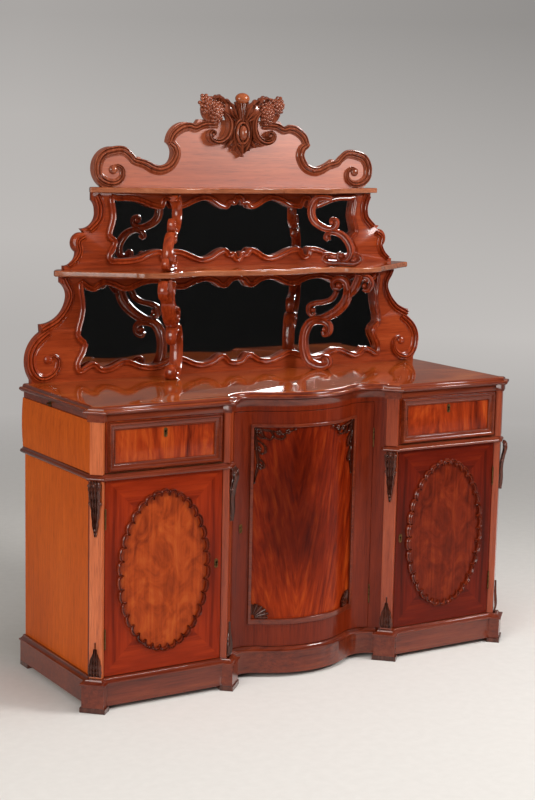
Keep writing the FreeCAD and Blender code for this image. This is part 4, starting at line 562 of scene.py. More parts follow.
def traced(table, wide=1.0, tall=1.0, low=0.0, band=1.0, fine=6):
    """A smooth line and its half widths, from a table of (across, up, half width) shares."""
    knots = [Vector((wide * across, low + tall * up, 0.0)) for across, up, half in table]
    halves = [Vector((band * half, 0.0, 0.0)) for across, up, half in table]
    return smooth_line(knots, fine=fine), [width.x for width in smooth_line(halves, fine=fine)]


# %%
# Swept sections
def framed(right, up, along, place):
    """The matrix that lays a section on two axes at a place, with a third axis along its way."""
    here = Matrix.Identity(4)
    for axis, column in enumerate((right, up, along, place)):
        here.col[axis] = (*column, 1.0 if axis == 3 else 0.0)
    return here


def lofted(bm, section, stations, closed=False):
    """Extrudes a section of (across, up) shares from one station's matrix to the next."""
    ring = [bm.verts.new(stations[0] @ Vector((wide, rise, 0.0))) for wide, rise in section]
    caps = edges = [bm.edges.new(pair) for pair in zip(ring, ring[1:] + ring[:1])]
    for before, here in zip(stations, stations[1:] + (stations[:1] if closed else [])):
        made = bmesh.ops.extrude_edge_only(bm, edges=edges)["geom"]
        fresh = [item for item in made if isinstance(item, bmesh.types.BMVert)]
        edges = [item for item in made if isinstance(item, bmesh.types.BMEdge) and item.is_boundary]
        bmesh.ops.transform(bm, matrix=here @ before.inverted(), verts=fresh)
    if not closed:
        bmesh.ops.edgeloop_fill(bm, edges=caps)
        bmesh.ops.edgeloop_fill(bm, edges=edges)


OUT = Vector((0, 0, 1))


def swept(bm, section, places, halves, lay, tall, closed=False):
    """Sweeps a section along places, with a half width for each; tall may depend on it."""
    count = len(places)
    stations = []
    for step, (place, half) in enumerate(zip(places, halves)):
        ahead = places[(step + 1) % count if closed else min(step + 1, count - 1)]
        behind = places[step - 1 if closed else max(step - 1, 0)]
        along = (ahead - behind).normalized()
        across = OUT.cross(along).normalized()
        stand = tall(half) if callable(tall) else tall
        stations.append(lay @ framed(across * half, along.cross(across) * stand, along, place))
    lofted(bm, section, stations, closed)


def stands(full, widest, least=0.45):
    """Height of a moulding that sinks as it narrows, down to its least share."""
    return lambda half: full * min(1.0, least + (1.0 - least) * half / widest)


# %%
# Carved balls, and carvings that are ready for the scene
def ball(bm, lay, place, radius, flat=1.0, rings=10):
    """A carved ball, flattened away from the board."""
    shape = lay @ Matrix.Translation(place) @ Matrix.Diagonal((1.0, 1.0, flat, 1.0))
    bmesh.ops.create_uvsphere(bm, u_segments=2 * rings, v_segments=rings, radius=radius, matrix=shape)


def finished(bm, title, body, slot, material, *nodes, both=True, angle=40):
    """Mirrors a carving to the other side, turns its faces out and puts it in the scene."""
    if both:
        geometry = bm.verts[:] + bm.edges[:] + bm.faces[:]
        bmesh.ops.mirror(bm, geom=geometry, matrix=Matrix.Identity(4), merge_dist=-1.0, axis="X")
    bmesh.ops.remove_doubles(bm, verts=bm.verts, dist=0.00001)
    bmesh.ops.recalc_face_normals(bm, faces=bm.faces)
    piece = mounted(bm, title, body, slot, angle, material)
    if nodes:
        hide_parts(*nodes)
    print(title, "faces", len(piece.data.polygons))


def facing(front):
    """Flat carving laid on an upright face: across is X, up is Z and out is towards the front."""
    return Matrix(((1, 0, 0, 0), (0, 0, -1, front), (0, 1, 0, 0), (0, 0, 0, 1)))


# %% [markdown]
# ## The planted edge mouldings
# Along the shaped edges of the backboards and the crest runs a moulding of three ribs with hollows
# between them. It ends in volutes, and each volute closes on a small ball, its eye.

# %%
# The section and the lines of the edge mouldings
THREE_RIBS = [
    (1.0, -0.04), (1.0, 0.5), (0.92, 0.78), (0.8, 0.82), (0.7, 0.66), (0.62, 0.3), (0.52, 0.5),
    (0.38, 0.92), (0.2, 1.0), (0.04, 0.84), (-0.06, 0.46), (-0.14, 0.2), (-0.24, 0.42), (-0.38, 0.64),
    (-0.54, 0.56), (-0.64, 0.26), (-0.8, 0.12), (-1.0, 0.06), (-1.0, -0.04),
]
BOARD_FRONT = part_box("crest_board")[0].y
EDGE_BAND = 0.034
EDGE_STAND = 0.012
LOWER_TIER = (0.806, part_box("lower_backboard")[1].z - 0.968, 0.968, EDGE_BAND)
UPPER_TIER = (0.670, 0.255, 1.345, EDGE_BAND)
CREST_TIER = (0.566, 0.232, 1.618, EDGE_BAND)
LOWER_EDGE = [
    (0.829, 0.984, 0.4), (0.818, 0.93, 0.4), (0.802, 0.86, 0.36), (0.8, 0.78, 0.34), (0.822, 0.67, 0.4),
    (0.862, 0.57, 0.46), (0.912, 0.51, 0.48), (0.93, 0.49, 0.42),
]
LOWER_VOLUTE = [
    (0.9, 0.47, 0.4), (0.952, 0.375, 0.5), (0.978, 0.262, 0.5), (0.972, 0.13, 0.48), (0.94, 0.052, 0.42),
    (0.9, 0.058, 0.36), (0.868, 0.12, 0.32), (0.86, 0.205, 0.28), (0.882, 0.25, 0.26), (0.904, 0.22, 0.2),
]
UPPER_EDGE = [
    (0.825, 0.966, 0.4), (0.808, 0.88, 0.45), (0.8, 0.765, 0.45), (0.812, 0.63, 0.45), (0.862, 0.505, 0.42),
]
UPPER_FOOT = [
    (0.885, 0.42, 0.3), (0.92, 0.36, 0.36), (0.914, 0.235, 0.36), (0.936, 0.12, 0.36), (0.975, 0.04, 0.28),
]
CREST_VOLUTE = [
    (0.735, 0.39, 0.36), (0.8, 0.515, 0.46), (0.873, 0.51, 0.5), (0.937, 0.45, 0.5), (0.968, 0.31, 0.5),
    (0.96, 0.16, 0.47), (0.91, 0.075, 0.42), (0.855, 0.07, 0.36), (0.816, 0.138, 0.32),
    (0.812, 0.245, 0.28), (0.845, 0.3, 0.24), (0.868, 0.25, 0.2),
]
CREST_HOLLOW = [
    (0.498, 0.685, 0.36), (0.485, 0.65, 0.4), (0.455, 0.59, 0.45), (0.443, 0.47, 0.5), (0.48, 0.32, 0.5),
    (0.545, 0.25, 0.5), (0.6, 0.265, 0.5), (0.66, 0.33, 0.45), (0.728, 0.375, 0.4), (0.752, 0.42, 0.36),
]
CREST_RISE = [
    (0.16, 0.93, 0.42), (0.255, 0.92, 0.42), (0.315, 0.865, 0.42), (0.36, 0.885, 0.45), (0.41, 0.86, 0.48),
    (0.462, 0.77, 0.45), (0.487, 0.655, 0.38), (0.5, 0.62, 0.34),
]

# %%
# Edge mouldings
BOARD_LAY = facing(BOARD_FRONT)
EDGE_TALL = stands(EDGE_STAND, EDGE_BAND * 0.4)
EYE_RADIUS = 0.016
for title, material, node, runs in (
    ("scrolled_edges", SCROLLWORK, "backboard_scrolls", (
        (LOWER_EDGE, LOWER_TIER), (LOWER_VOLUTE, LOWER_TIER), (UPPER_EDGE, UPPER_TIER),
        (UPPER_FOOT, UPPER_TIER),
    )),
    ("crest_edges", CARVING, "crest_moulding", (
        (CREST_VOLUTE, CREST_TIER), (CREST_HOLLOW, CREST_TIER), (CREST_RISE, CREST_TIER),
    )),
):
    bm = bmesh.new()
    for table, tier in runs:
        line, widths = traced(table, *tier)
        swept(bm, THREE_RIBS, line, widths, BOARD_LAY, EDGE_TALL)
        if table in (LOWER_VOLUTE, CREST_VOLUTE):
            ball(bm, BOARD_LAY, line[-1], EYE_RADIUS, 0.6)
    finished(bm, title, "carcase", "mahogany", material, node)

# %% [markdown]
# ## The frames of the mirrors
# A double rib follows the lobed opening of each mirror. It is one closed run, so its last ring is
# laid on its first and the two are merged. Both openings are more finely lobed than those of the
# packed boards, so the front of each board is taken off down to the glass and filled again up to the
# new edge.

# %%
# Lobed openings
LOWER_WAVE = [
    (0.0, 0.0), (0.03, 0.1), (0.05, 0.3), (0.072, 0.86), (0.088, 1.0), (0.112, 0.86), (0.15, 0.3),
    (0.214, 0.0), (0.28, 0.3), (0.335, 0.86), (0.37, 1.0), (0.405, 0.86), (0.47, 0.28), (0.547, 0.05),
    (0.62, 0.34), (0.675, 0.86), (0.71, 1.0), (0.742, 0.8), (0.79, 0.3), (0.835, 0.08), (0.868, 0.3),
    (0.893, 0.8), (0.915, 0.9), (0.945, 0.6), (0.985, 0.12),
]
UPPER_WAVE = [
    (0.0, 0.0), (0.022, 0.16), (0.034, 0.6), (0.05, 0.5), (0.066, 0.52), (0.082, 0.62), (0.096, 0.98),
    (0.12, 1.0), (0.16, 0.72), (0.21, 0.24), (0.26, 0.04), (0.3, 0.06), (0.36, 0.36), (0.42, 0.78),
    (0.465, 0.96), (0.503, 1.0), (0.515, 0.86), (0.527, 0.4), (0.548, 0.1), (0.575, 0.08), (0.592, 0.3),
    (0.6, 0.8), (0.612, 1.0), (0.65, 0.96), (0.7, 0.72), (0.76, 0.35), (0.82, 0.14), (0.88, 0.08),
    (0.94, 0.08), (0.985, 0.12),
]
LOBES = [(0.985, 0.0), (1.0, 0.1), (0.955, 0.3), (1.0, 0.42), (0.97, 0.7), (0.985, 1.0)]
FRAME_HALF = 0.010
FRAME_STAND = 0.011
TWO_RIBS = [
    (1.0, -0.04), (1.0, 0.45), (0.88, 0.8), (0.6, 1.0), (0.32, 0.82), (0.12, 0.5), (-0.1, 0.46),
    (-0.28, 0.62), (-0.55, 0.8), (-0.85, 0.66), (-1.0, 0.36), (-1.0, -0.04),
]


def window_line(wave, deep, half, low, high):
    """Knots round a lobed opening, from the middle of its foot."""
    tall = high - low - 2 * deep * wave[-1][1]
    foot = [(half * across, low + deep * up) for across, up in wave]
    head = [(half * across, high - deep * up) for across, up in wave]
    stile = [(half * across, foot[-1][1] + tall * up) for across, up in LOBES]
    right = foot[:-1] + stile + head[-2::-1]
    left = [(-across, up) for across, up in right[-2:0:-1]]
    return [Vector((across, up, 0.0)) for across, up in right + left]


UPPER_WINDOW = (UPPER_WAVE, 0.031, 0.496, 1.375, 1.574)
LOWER_WINDOW = (LOWER_WAVE, 0.026, 0.612, 1.006, 1.292)

# %%
# The backboards with their finer openings
LEVEL = 0.000005  # points nearer to a plane than this are on it
CLEAR = 0.004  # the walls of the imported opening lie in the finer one's box, let out by this


def pierced(node, knots, glass_front, material):
    """A copy of a board whose front, down to the glass, gets another opening."""
    bm = merged(node)
    everything = bm.verts[:] + bm.edges[:] + bm.faces[:]
    bmesh.ops.bisect_plane(
        bm, geom=everything, dist=0.000001, plane_co=(0, glass_front, 0), plane_no=(0, 1, 0),
    )
    half = max(knot.x for knot in knots) + CLEAR
    low = min(knot.y for knot in knots) - CLEAR
    high = max(knot.y for knot in knots) + CLEAR
    gone = []
    for face in bm.faces:
        middle = face.calc_center_median()
        if middle.y > glass_front - 0.000001 and abs(middle.y - glass_front) > LEVEL:
            continue
        inside = abs(middle.x) < half and low < middle.z < high
        if abs(face.normal.y) > 0.9 or inside:
            gone.append(face)
    bmesh.ops.delete(bm, geom=gone, context="FACES")
    edge = smooth_line(knots, closed=True, fine=4)
    for level in (BOARD_FRONT, glass_front):
        rim = [bm.verts.new((spot.x, level, spot.y)) for spot in edge]
        loop = [bm.edges.new(pair) for pair in zip(rim, rim[1:] + rim[:1])]
        outer = [
            item for item in bm.edges
            if item.is_boundary and all(abs(spot.co.y - level) < LEVEL for spot in item.verts)
        ]
        bmesh.ops.triangle_fill(bm, edges=loop + outer, use_beauty=True)
        if level < glass_front:
            walls = loop
    sides = bmesh.ops.extrude_edge_only(bm, edges=walls)["geom"]
    moved = [item for item in sides if isinstance(item, bmesh.types.BMVert)]
    bmesh.ops.translate(bm, verts=moved, vec=(0, glass_front - BOARD_FRONT, 0))
    bmesh.ops.remove_doubles(bm, verts=bm.verts, dist=LEVEL)
    bmesh.ops.recalc_face_normals(bm, faces=bm.faces)
    piece = mounted(bm, node + "_pierced", BODY_OF[node], "mahogany", BOARD_ANGLE, material)
    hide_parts(node)
    print(piece.name, "faces", len(piece.data.polygons))


pierced("upper_backboard", window_line(*UPPER_WINDOW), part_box("upper_mirror")[0].y, BACK)
pierced("lower_backboard", window_line(*LOWER_WINDOW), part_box("lower_mirror")[0].y, BACK)

# %%
# Mirror frames
bm = bmesh.new()
for wave, deep, half, low, high in (LOWER_WINDOW, UPPER_WINDOW):
    knots = window_line(wave, deep, half + FRAME_HALF, low - FRAME_HALF, high + FRAME_HALF)
    line = smooth_line(knots, closed=True, fine=3)
    swept(bm, TWO_RIBS, line, [FRAME_HALF] * len(line), BOARD_LAY, FRAME_STAND, closed=True)
finished(bm, "mirror_mouldings", "carcase", "mahogany", SCROLLWORK, "mirror_frames", both=False)

# %% [markdown]
# ## The scrolled brackets
# Each bracket is sawn from one thick board that stands at fifty degrees to the front, and carved on
# both faces: a raised rim on each edge and a hollow between. The section is the same on both faces,
# so the sweep runs along the middle of the board's thickness.

# %%
# The section and the lines of the brackets
BOTH_FACES = [
    (1.06, 0.12), (1.0, 0.42), (0.88, 0.76), (0.72, 0.99), (0.56, 0.94), (0.44, 0.7), (0.2, 0.56),
    (-0.2, 0.56), (-0.44, 0.7), (-0.56, 0.94), (-0.72, 0.99), (-0.88, 0.76), (-1.0, 0.42),
    (-1.06, 0.12),
]
BOTH_FACES = BOTH_FACES + [(across, -rise) for across, rise in reversed(BOTH_FACES)]
LOWER_C = [
    (0.034, 0.094, 0.016), (0.058, 0.128, 0.022), (0.1, 0.118, 0.03), (0.115, 0.072, 0.036),
    (0.07, 0.034, 0.042), (-0.018, 0.036, 0.044), (-0.108, 0.084, 0.046), (-0.152, 0.188, 0.046),
    (-0.16, 0.3, 0.046), (-0.135, 0.412, 0.046), (-0.073, 0.485, 0.044), (0.028, 0.497, 0.04),
    (0.1, 0.455, 0.035), (0.106, 0.385, 0.029), (0.058, 0.355, 0.023), (0.034, 0.392, 0.016),
]
LOWER_SWEEP = [
    (-0.056, 0.51, 0.028), (0.056, 0.532, 0.041), (0.168, 0.594, 0.048), (0.258, 0.692, 0.048),
    (0.291, 0.804, 0.045), (0.269, 0.9, 0.04), (0.196, 0.93, 0.036), (0.136, 0.89, 0.03),
    (0.15, 0.83, 0.024), (0.205, 0.832, 0.018),
]
LOWER_HEAD = [(0.275, 0.76, 0.04), (0.35, 0.83, 0.045), (0.392, 0.92, 0.045), (0.41, 0.975, 0.045)]
LOWER_LEAF = [
    (0.4, 0.94, 0.026), (0.49, 0.952, 0.028), (0.527, 0.888, 0.028), (0.493, 0.824, 0.024),
    (0.448, 0.836, 0.018),
]
LOWER_BRANCH = [
    (-0.04, 0.57, 0.014), (-0.075, 0.545, 0.02), (-0.112, 0.575, 0.024), (-0.108, 0.64, 0.027),
    (-0.04, 0.672, 0.027), (0.05, 0.688, 0.027), (0.13, 0.728, 0.027), (0.172, 0.8, 0.026),
]
UPPER_C = [
    (0.13, 0.93, 0.03), (0.04, 0.945, 0.045), (-0.08, 0.925, 0.055), (-0.158, 0.784, 0.055),
    (-0.13, 0.635, 0.053), (-0.01, 0.54, 0.05), (0.11, 0.505, 0.044), (0.2, 0.54, 0.036),
    (0.215, 0.625, 0.03), (0.15, 0.655, 0.024), (0.118, 0.61, 0.018),
]
UPPER_BELLY = [
    (0.09, 0.35, 0.018), (0.055, 0.385, 0.026), (0.09, 0.445, 0.034), (0.18, 0.468, 0.042),
    (0.29, 0.435, 0.048), (0.385, 0.34, 0.052), (0.432, 0.22, 0.05), (0.4, 0.115, 0.044),
    (0.32, 0.075, 0.036), (0.25, 0.11, 0.03), (0.25, 0.17, 0.024), (0.295, 0.185, 0.018),
]
UPPER_FOOT_RUN = [
    (0.13, 0.125, 0.016), (0.105, 0.16, 0.022), (0.05, 0.15, 0.028), (0.03, 0.09, 0.032),
    (0.09, 0.045, 0.036), (0.196, 0.04, 0.036), (0.3, 0.045, 0.038), (0.4, 0.04, 0.036),
    (0.5, 0.045, 0.036), (0.58, 0.09, 0.032), (0.57, 0.15, 0.026), (0.52, 0.16, 0.02),
    (0.5, 0.125, 0.016),
]

# %%
# Brackets
SPLAY = math.radians(-50)
BRACKET_START = (0.31724, 0.20446)
BRACKET_MIDDLE = 0.0225  # half of the sawn board
BRACKET_LAY = Matrix((
    (math.cos(SPLAY), 0, math.sin(SPLAY), BRACKET_START[0]),
    (math.sin(SPLAY), 0, -math.cos(SPLAY), BRACKET_START[1]),
    (0, 1, 0, 0), (0, 0, 0, 1),
)) @ Matrix.Translation((0, 0, BRACKET_MIDDLE))


def bracket(title, node, low, tall, thick, tables, eyes):
    """Both brackets of a tier; eyes are (outward, up, radius) shares of the tier's height."""
    bm = bmesh.new()
    for table in tables:
        line, widths = traced(table, tall, tall, low, tall, fine=7)
        swept(bm, BOTH_FACES, line, widths, BRACKET_LAY, stands(thick, tall * 0.04, 0.12))
    for across, up, radius in eyes:
        place = Vector((tall * across, low + tall * up, 0.0))
        ball(bm, BRACKET_LAY, place, tall * radius, min(1.4, 0.9 * thick / (tall * radius)))
    finished(bm, title, "carcase", "mahogany", SCROLLWORK, node, angle=50)


bracket(
    "lower_bracket_scrolls", "lower_brackets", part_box("table_top")[1].z, 0.357, 0.021,
    [LOWER_C, LOWER_SWEEP, LOWER_HEAD, LOWER_LEAF, LOWER_BRANCH],
    [
        (0.062, 0.086, 0.034), (0.062, 0.41, 0.034), (0.2, 0.862, 0.04), (0.462, 0.868, 0.03),
        (-0.07, 0.6, 0.028),
    ],
)
bracket(
    "upper_bracket_scrolls", "upper_brackets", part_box("lower_shelf")[1].z, 0.255, 0.016,
    [UPPER_C, UPPER_BELLY, UPPER_FOOT_RUN],
    [
        (0.152, 0.6, 0.045), (0.1, 0.385, 0.036), (0.3, 0.14, 0.045), (0.09, 0.115, 0.032),
        (0.535, 0.115, 0.032),
    ],
)

# %% [markdown]
# ## Drawer fronts
# A drawer front is a figured board with a moulding mitred round its field. A mitred moulding needs
# only four stations, one in each corner, where the section lies on the diagonal and is wider by the
# root of two. The board itself is one cube, scaled and eased.

# %%
# Drawer fronts
STEPPED = [
    (1.0, -0.02), (1.0, 0.5), (0.93, 0.66), (0.86, 0.52), (0.8, 0.52), (0.74, 0.8), (0.6, 1.0),
    (0.44, 0.96), (0.32, 0.8), (0.24, 0.62), (0.12, 0.66), (0.02, 0.6), (-0.04, 0.46), (-0.3, 0.4),
    (-0.56, 0.3), (-0.7, 0.16), (-0.76, 0.3), (-0.88, 0.34), (-0.97, 0.24), (-1.0, 0.1), (-1.0, -0.02),
]


def mitred(bm, section, low, high, half, stand, lay):
    """A closed rectangular moulding between two corners of its middle line."""
    stations = []
    for x, y, right, up in (
        (low.x, low.y, -half, -half), (high.x, low.y, half, -half), (high.x, high.y, half, half),
        (low.x, high.y, -half, half),
    ):
        stations.append(lay @ framed((right, up, 0), (0, 0, stand), (-up, right, 0), (x, y, 0)))
    lofted(bm, section, stations, closed=True)


FACE = -0.245  # the face of the drawers and of the side doors
MOULDING_HALF = 0.0135
MOULDING_STAND = 0.013
SIDE_MARGIN = 0.0063 + MOULDING_HALF
FOOT_MARGIN = 0.0025 + MOULDING_HALF
for side in ("left", "right"):
    node = side + "_drawer_front"
    low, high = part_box(node)
    bm = bmesh.new()
    size = Vector((high.x - low.x, high.y - FACE, high.z - low.z))
    place = Vector(((low.x + high.x) / 2, (FACE + high.y) / 2, (low.z + high.z) / 2))
    bmesh.ops.create_cube(bm, size=1.0, matrix=Matrix.Translation(place) @ Matrix.Diagonal((*size, 1.0)))
    bmesh.ops.bevel(
        bm, geom=bm.edges[:], offset=0.001, segments=2, profile=0.5, affect="EDGES", material=-1,
    )
    finished(bm, side + "_drawer_field", side + "_drawer", "mahogany", FIELD, node, both=False)
    bm = bmesh.new()
    start = Vector((low.x + SIDE_MARGIN, low.z + FOOT_MARGIN))
    end = Vector((high.x - SIDE_MARGIN, high.z - FOOT_MARGIN))
    mitred(bm, STEPPED, start, end, MOULDING_HALF, MOULDING_STAND, facing(FACE))
    finished(bm, side + "_drawer_moulding", side + "_drawer", "mahogany", MOULDING, both=False, angle=30)

# %% [markdown]
# ## Keyholes
# Each lock has a round-ended brass plate. Its keyhole is a disk with a slot below, laid on the plate
# in black, because a real hole would show only darkness.

# %%
# Keyholes
HOLE = metal("keyhole_black", (0.006, 0.005, 0.004), 0.6, 0.5)
PLATE_FACE = -0.2461
HOLE_PROUD = 0.00015
HOLE_RADIUS = 0.0034
WARD_SIZE = (0.0026, 0.011)


def keyhole(title, x, z, body):
    """A black keyhole on a plate's face: a disk with a slot under it."""
    bm = bmesh.new()
    disk = facing(PLATE_FACE) @ Matrix.Translation((x, z + 0.003, HOLE_PROUD))
    bmesh.ops.create_circle(bm, cap_ends=True, segments=24, radius=HOLE_RADIUS, matrix=disk)
    ward = facing(PLATE_FACE) @ Matrix.Translation((x, z - 0.003, HOLE_PROUD))
    ward = ward @ Matrix.Diagonal((*WARD_SIZE, 1, 1))
    bmesh.ops.create_grid(bm, x_segments=1, y_segments=1, size=0.5, matrix=ward)
    finished(bm, title, body, "steel", HOLE, both=False)


for side, sign in (("left", -1), ("right", 1)):
    keyhole(side + "_drawer_keyhole", sign * OVAL_X, 0.872, side + "_drawer")
    keyhole(side + "_door_keyhole", sign * 0.370, OVAL_Z, side + "_door")

# %% [markdown]
# ## The cartouche of the crest
# In the middle of the crest two C-scrolls hold an oval boss. Leaves rise beside a fluted stem with a
# round knob, a pointed leaf hangs below, and a bunch of grapes lies on each side.

# %%
# Carved leaves
def evened(half):
    """A section from its right half, which ends on its middle line."""
    return half + [(-across, rise) for across, rise in reversed(half[:-1])]


GROOVED = evened([
    (1.0, -0.04), (1.0, 0.5), (0.92, 0.8), (0.78, 0.9), (0.64, 0.76), (0.54, 0.58), (0.4, 0.72),
    (0.22, 0.96), (0.0, 1.0),
])
LEAF = evened([(1.0, -0.04), (1.0, 0.3), (0.72, 0.62), (0.42, 0.56), (0.22, 0.8), (0.0, 1.0)])


def lobed(widths, lobes, deep):
    """Half widths with the notches of a carved leaf."""
    last = len(widths) - 1
    return [
        half * (1.0 - deep * abs(math.sin(math.pi * lobes * step / last)) ** 3)
        for step, half in enumerate(widths)
    ]


MM = 0.001


def carved(bm, section, knots, stand, lobes=0, deep=0.3, fine=8):
    """A run on the crest; knots are (across, up, half width) in mm from the middle line and the floor."""
    line, widths = traced(knots, MM, MM, 0.0, MM, fine)
    if lobes:
        widths = lobed(widths, lobes, deep)
    swept(bm, section, line, widths, BOARD_LAY, stand)


def boss(bm, place, radii, segments=32):
    """An egg-shaped boss on the crest; place and radii are in mm, across, up and out."""
    centre = BOARD_LAY @ Matrix.Translation(Vector(place) * MM)
    shape = centre @ Matrix.Diagonal((*(Vector(radii) * MM), 1.0))
    bmesh.ops.create_uvsphere(bm, u_segments=segments, v_segments=segments // 2, radius=1.0, matrix=shape)


# %%
# Cartouche: the parts that both sides have
SCROLL = [
    (76, 1878, 4.0), (60, 1864, 7.0), (50, 1845, 9.0), (50, 1818, 10.0), (61, 1793, 10.5),
    (83, 1777, 10.0), (107, 1775, 9.0), (126, 1785, 8.0), (131, 1801, 7.0), (121, 1812, 5.5),
    (108, 1808, 4.5), (107, 1797, 3.5),
]
SIDE_LEAVES = [
    [(16, 1856, 6), (28, 1880, 9), (42, 1900, 10), (58, 1916, 8), (72, 1917, 2)],
    [(20, 1850, 5), (38, 1868, 7), (50, 1886, 6), (50, 1901, 4), (42, 1904, 2.5)],
    [(26, 1846, 7), (42, 1854, 8), (58, 1866, 6), (70, 1876, 2)],
    [(31, 1846, 4), (35, 1812, 5.5), (31, 1778, 7), (20, 1752, 5), (7, 1736, 2)],
    [(16, 1782, 6), (26, 1766, 8), (32, 1754, 6), (31, 1745, 2)],
    [(34, 1784, 6), (45, 1772, 8), (53, 1763, 5), (57, 1756, 2)],
    [(50, 1786, 5), (61, 1778, 6), (71, 1772, 5), (78, 1767, 2)],
    [(66, 1908, 5), (82, 1922, 12), (100, 1927, 10), (114, 1922, 2)],
    [(66, 1896, 5), (80, 1900, 10), (96, 1896, 8), (106, 1886, 2)],
]
bm = bmesh.new()
carved(bm, GROOVED, SCROLL, stands(0.031, 0.009), fine=9)
ball(bm, BOARD_LAY, Vector((0.1165, 1.7985, 0.012)), 0.0075, 1.4, 9)
for count, knots in enumerate(SIDE_LEAVES):
    carved(bm, LEAF, knots, 0.018 + 0.002 * (count % 4), 4, 0.28)
boss(bm, (118, 1884, 4), (46, 46, 9))
boss(bm, (52, 1886, 4), (34, 26, 8))
GOLDEN = math.radians(137.5)  # turned by this angle from one to the next, berries never line up
GRAPE_RADIUS = 0.0072
for middle, reach, count in (((146, 1903), (25, 32), 26), ((104, 1878), (28, 40), 38)):
    for berry in range(count):
        share = math.sqrt((berry + 0.5) / count)
        place = Vector((
            middle[0] + reach[0] * share * math.cos(GOLDEN * berry),
            middle[1] + reach[1] * share * math.sin(GOLDEN * berry),
            8 + 17 * (1 - share ** 2),
        )) * MM
        grape = BOARD_LAY @ Matrix.Translation(place)
        bmesh.ops.create_icosphere(bm, subdivisions=2, radius=GRAPE_RADIUS, matrix=grape)
finished(bm, "crest_carving", "carcase", "carving", CARVING, "crest_cartouche")

# %%
# Cartouche: the parts on the middle line
MIDDLE = 1806  # height of the oval's middle in mm
bm = bmesh.new()
boss(bm, (0, 1800, 2), (52, 62, 12))
carved(bm, LEAF, [(0, 1780, 10), (0, 1760, 14), (0, 1742, 9), (0, 1724, 2)], 0.027, 3)
for across, wide in ((-22, 5), (-10, 5.5), (0, 6), (10, 5.5), (22, 5)):
    knots = [
        (across * 0.3, 1846, wide * 0.7), (across * 0.45, 1872, wide * 0.8),
        (across * 0.75, 1898, wide), (across, 1914, wide),
    ]
    carved(bm, GROOVED, knots, 0.026 - 0.0003 * abs(across))
ROUND = [(math.cos(turn * math.pi / 4), math.sin(turn * math.pi / 4)) for turn in range(8)]
for wide, tall, thick, out in ((23, 36, 4.5, 19), (32, 47, 4, 11)):
    turns = [turn * math.pi / 8 for turn in range(16)]
    rim = smooth_line([
        Vector((wide * math.cos(turn), MIDDLE + tall * math.sin(turn), out)) * MM for turn in turns
    ], closed=True, fine=3)
    swept(bm, ROUND, rim, [thick * MM] * len(rim), BOARD_LAY, 0.009, closed=True)
boss(bm, (0, MIDDLE, 20), (15, 27, 19))
finished(bm, "crest_shield", "carcase", "carving", CARVING, both=False)
bm = bmesh.new()
boss(bm, (0, 1925, 13), (27, 19.4, 20), 40)
finished(bm, "crest_knob", "carcase", "carving", KNOB, both=False)

# %% [markdown]
# ## Corbels and leaf drops
# Each canted pilaster has a leaf corbel under the waist moulding and a smaller standing leaf above
# the plinth. A leaf is swept in the plane of the pilaster's face while its line also bends outwards.

# %%
# Leaves on the pilasters
DIAGONAL = math.sqrt(0.5)
PILASTERS = [
    ((0.8027, -0.2457), (DIAGONAL, -DIAGONAL)), ((0.3193, -0.2457), (-DIAGONAL, -DIAGONAL)),
]


def canted(place, out):
    """Across, up and out on a canted face."""
    return Matrix((
        (-out[1], 0, out[0], place[0]), (out[0], 0, out[1], place[1]), (0, 1, 0, 0), (0, 0, 0, 1),
    ))


def bent_leaf(bm, knots, halves, lay, stand, lobes, deep):
    """A leaf whose line leaves the face; knots are (across, up, out) in metres."""
    line = smooth_line([Vector(knot) for knot in knots])
    widths = [width.x for width in smooth_line([Vector((half, 0, 0)) for half in halves])]
    swept(bm, LEAF, line, lobed(widths, lobes, deep), lay, stand)


bm = bmesh.new()
for place, out in PILASTERS:
    face = canted(place, out)
    bent_leaf(bm, [
        (0, 0.562, 0.0), (0, 0.6, 0.001), (0, 0.64, 0.0), (0, 0.68, 0.004), (0, 0.71, 0.010),
        (0, 0.735, 0.008),
    ], [0.003, 0.010, 0.013, 0.017, 0.019, 0.017], face, 0.006, 6, 0.25)
    for across in (-0.0145, -0.005, 0.005, 0.0145):
        bent_leaf(bm, [
            (across * 0.1, 0.5625, 0.003), (across * 0.45, 0.6, 0.006), (across * 0.7, 0.64, 0.0045),
            (across * 0.9, 0.68, 0.010), (across, 0.708, 0.0165), (across, 0.727, 0.014),
            (across * 0.95, 0.734, 0.006),
        ], [0.0015, 0.0035, 0.0045, 0.0055, 0.006, 0.0055, 0.003], face, 0.0075, 7, 0.4)
    for across, up, proud, radius in (
        (-0.0155, 0.7255, 0.0165, 0.0068), (0, 0.7255, 0.0165, 0.0068), (0.0155, 0.7255, 0.0165, 0.0068),
        (-0.0165, 0.668, 0.009, 0.0055), (0.0165, 0.668, 0.009, 0.0055), (0, 0.571, 0.005, 0.0058),
        (0, 0.584, 0.006, 0.0068),
    ):
        ball(bm, face, Vector((across, up, proud)), radius, 1.0, 7)
    for across in (-0.0155, -0.009, 0.0, 0.009, 0.0155):
        top = 0.2225 - 2.4 * abs(across)
        bent_leaf(bm, [
            (across * 1.05, 0.1125, 0.002), (across * 1.15, 0.132, 0.0045), (across * 0.9, 0.16, 0.003),
            (across * 0.45, top, 0.0008),
        ], [0.0045, 0.0055, 0.0048, 0.0015], face, 0.0062, 4, 0.35)
finished(bm, "pilaster_leaves", "carcase", "carving", DARK_CARVING, "pilaster_carvings")

# %% [markdown]
# ## The scalloped ovals
# A chain of thirty-four shells runs round each door's oval. Each one is a crescent with two ribs, wide
# in its middle and drawn out to a cusp at each end, and the cusps of two neighbours meet.

# %%
# Oval rings
SCALLOPS = 34
SHELL_SHARES = (0.0, 0.05, 0.18, 0.5, 0.82, 0.95, 1.0)
SHELL_INSETS = (0.0215, 0.013, 0.0058, 0.0032, 0.0058, 0.013, 0.0215)


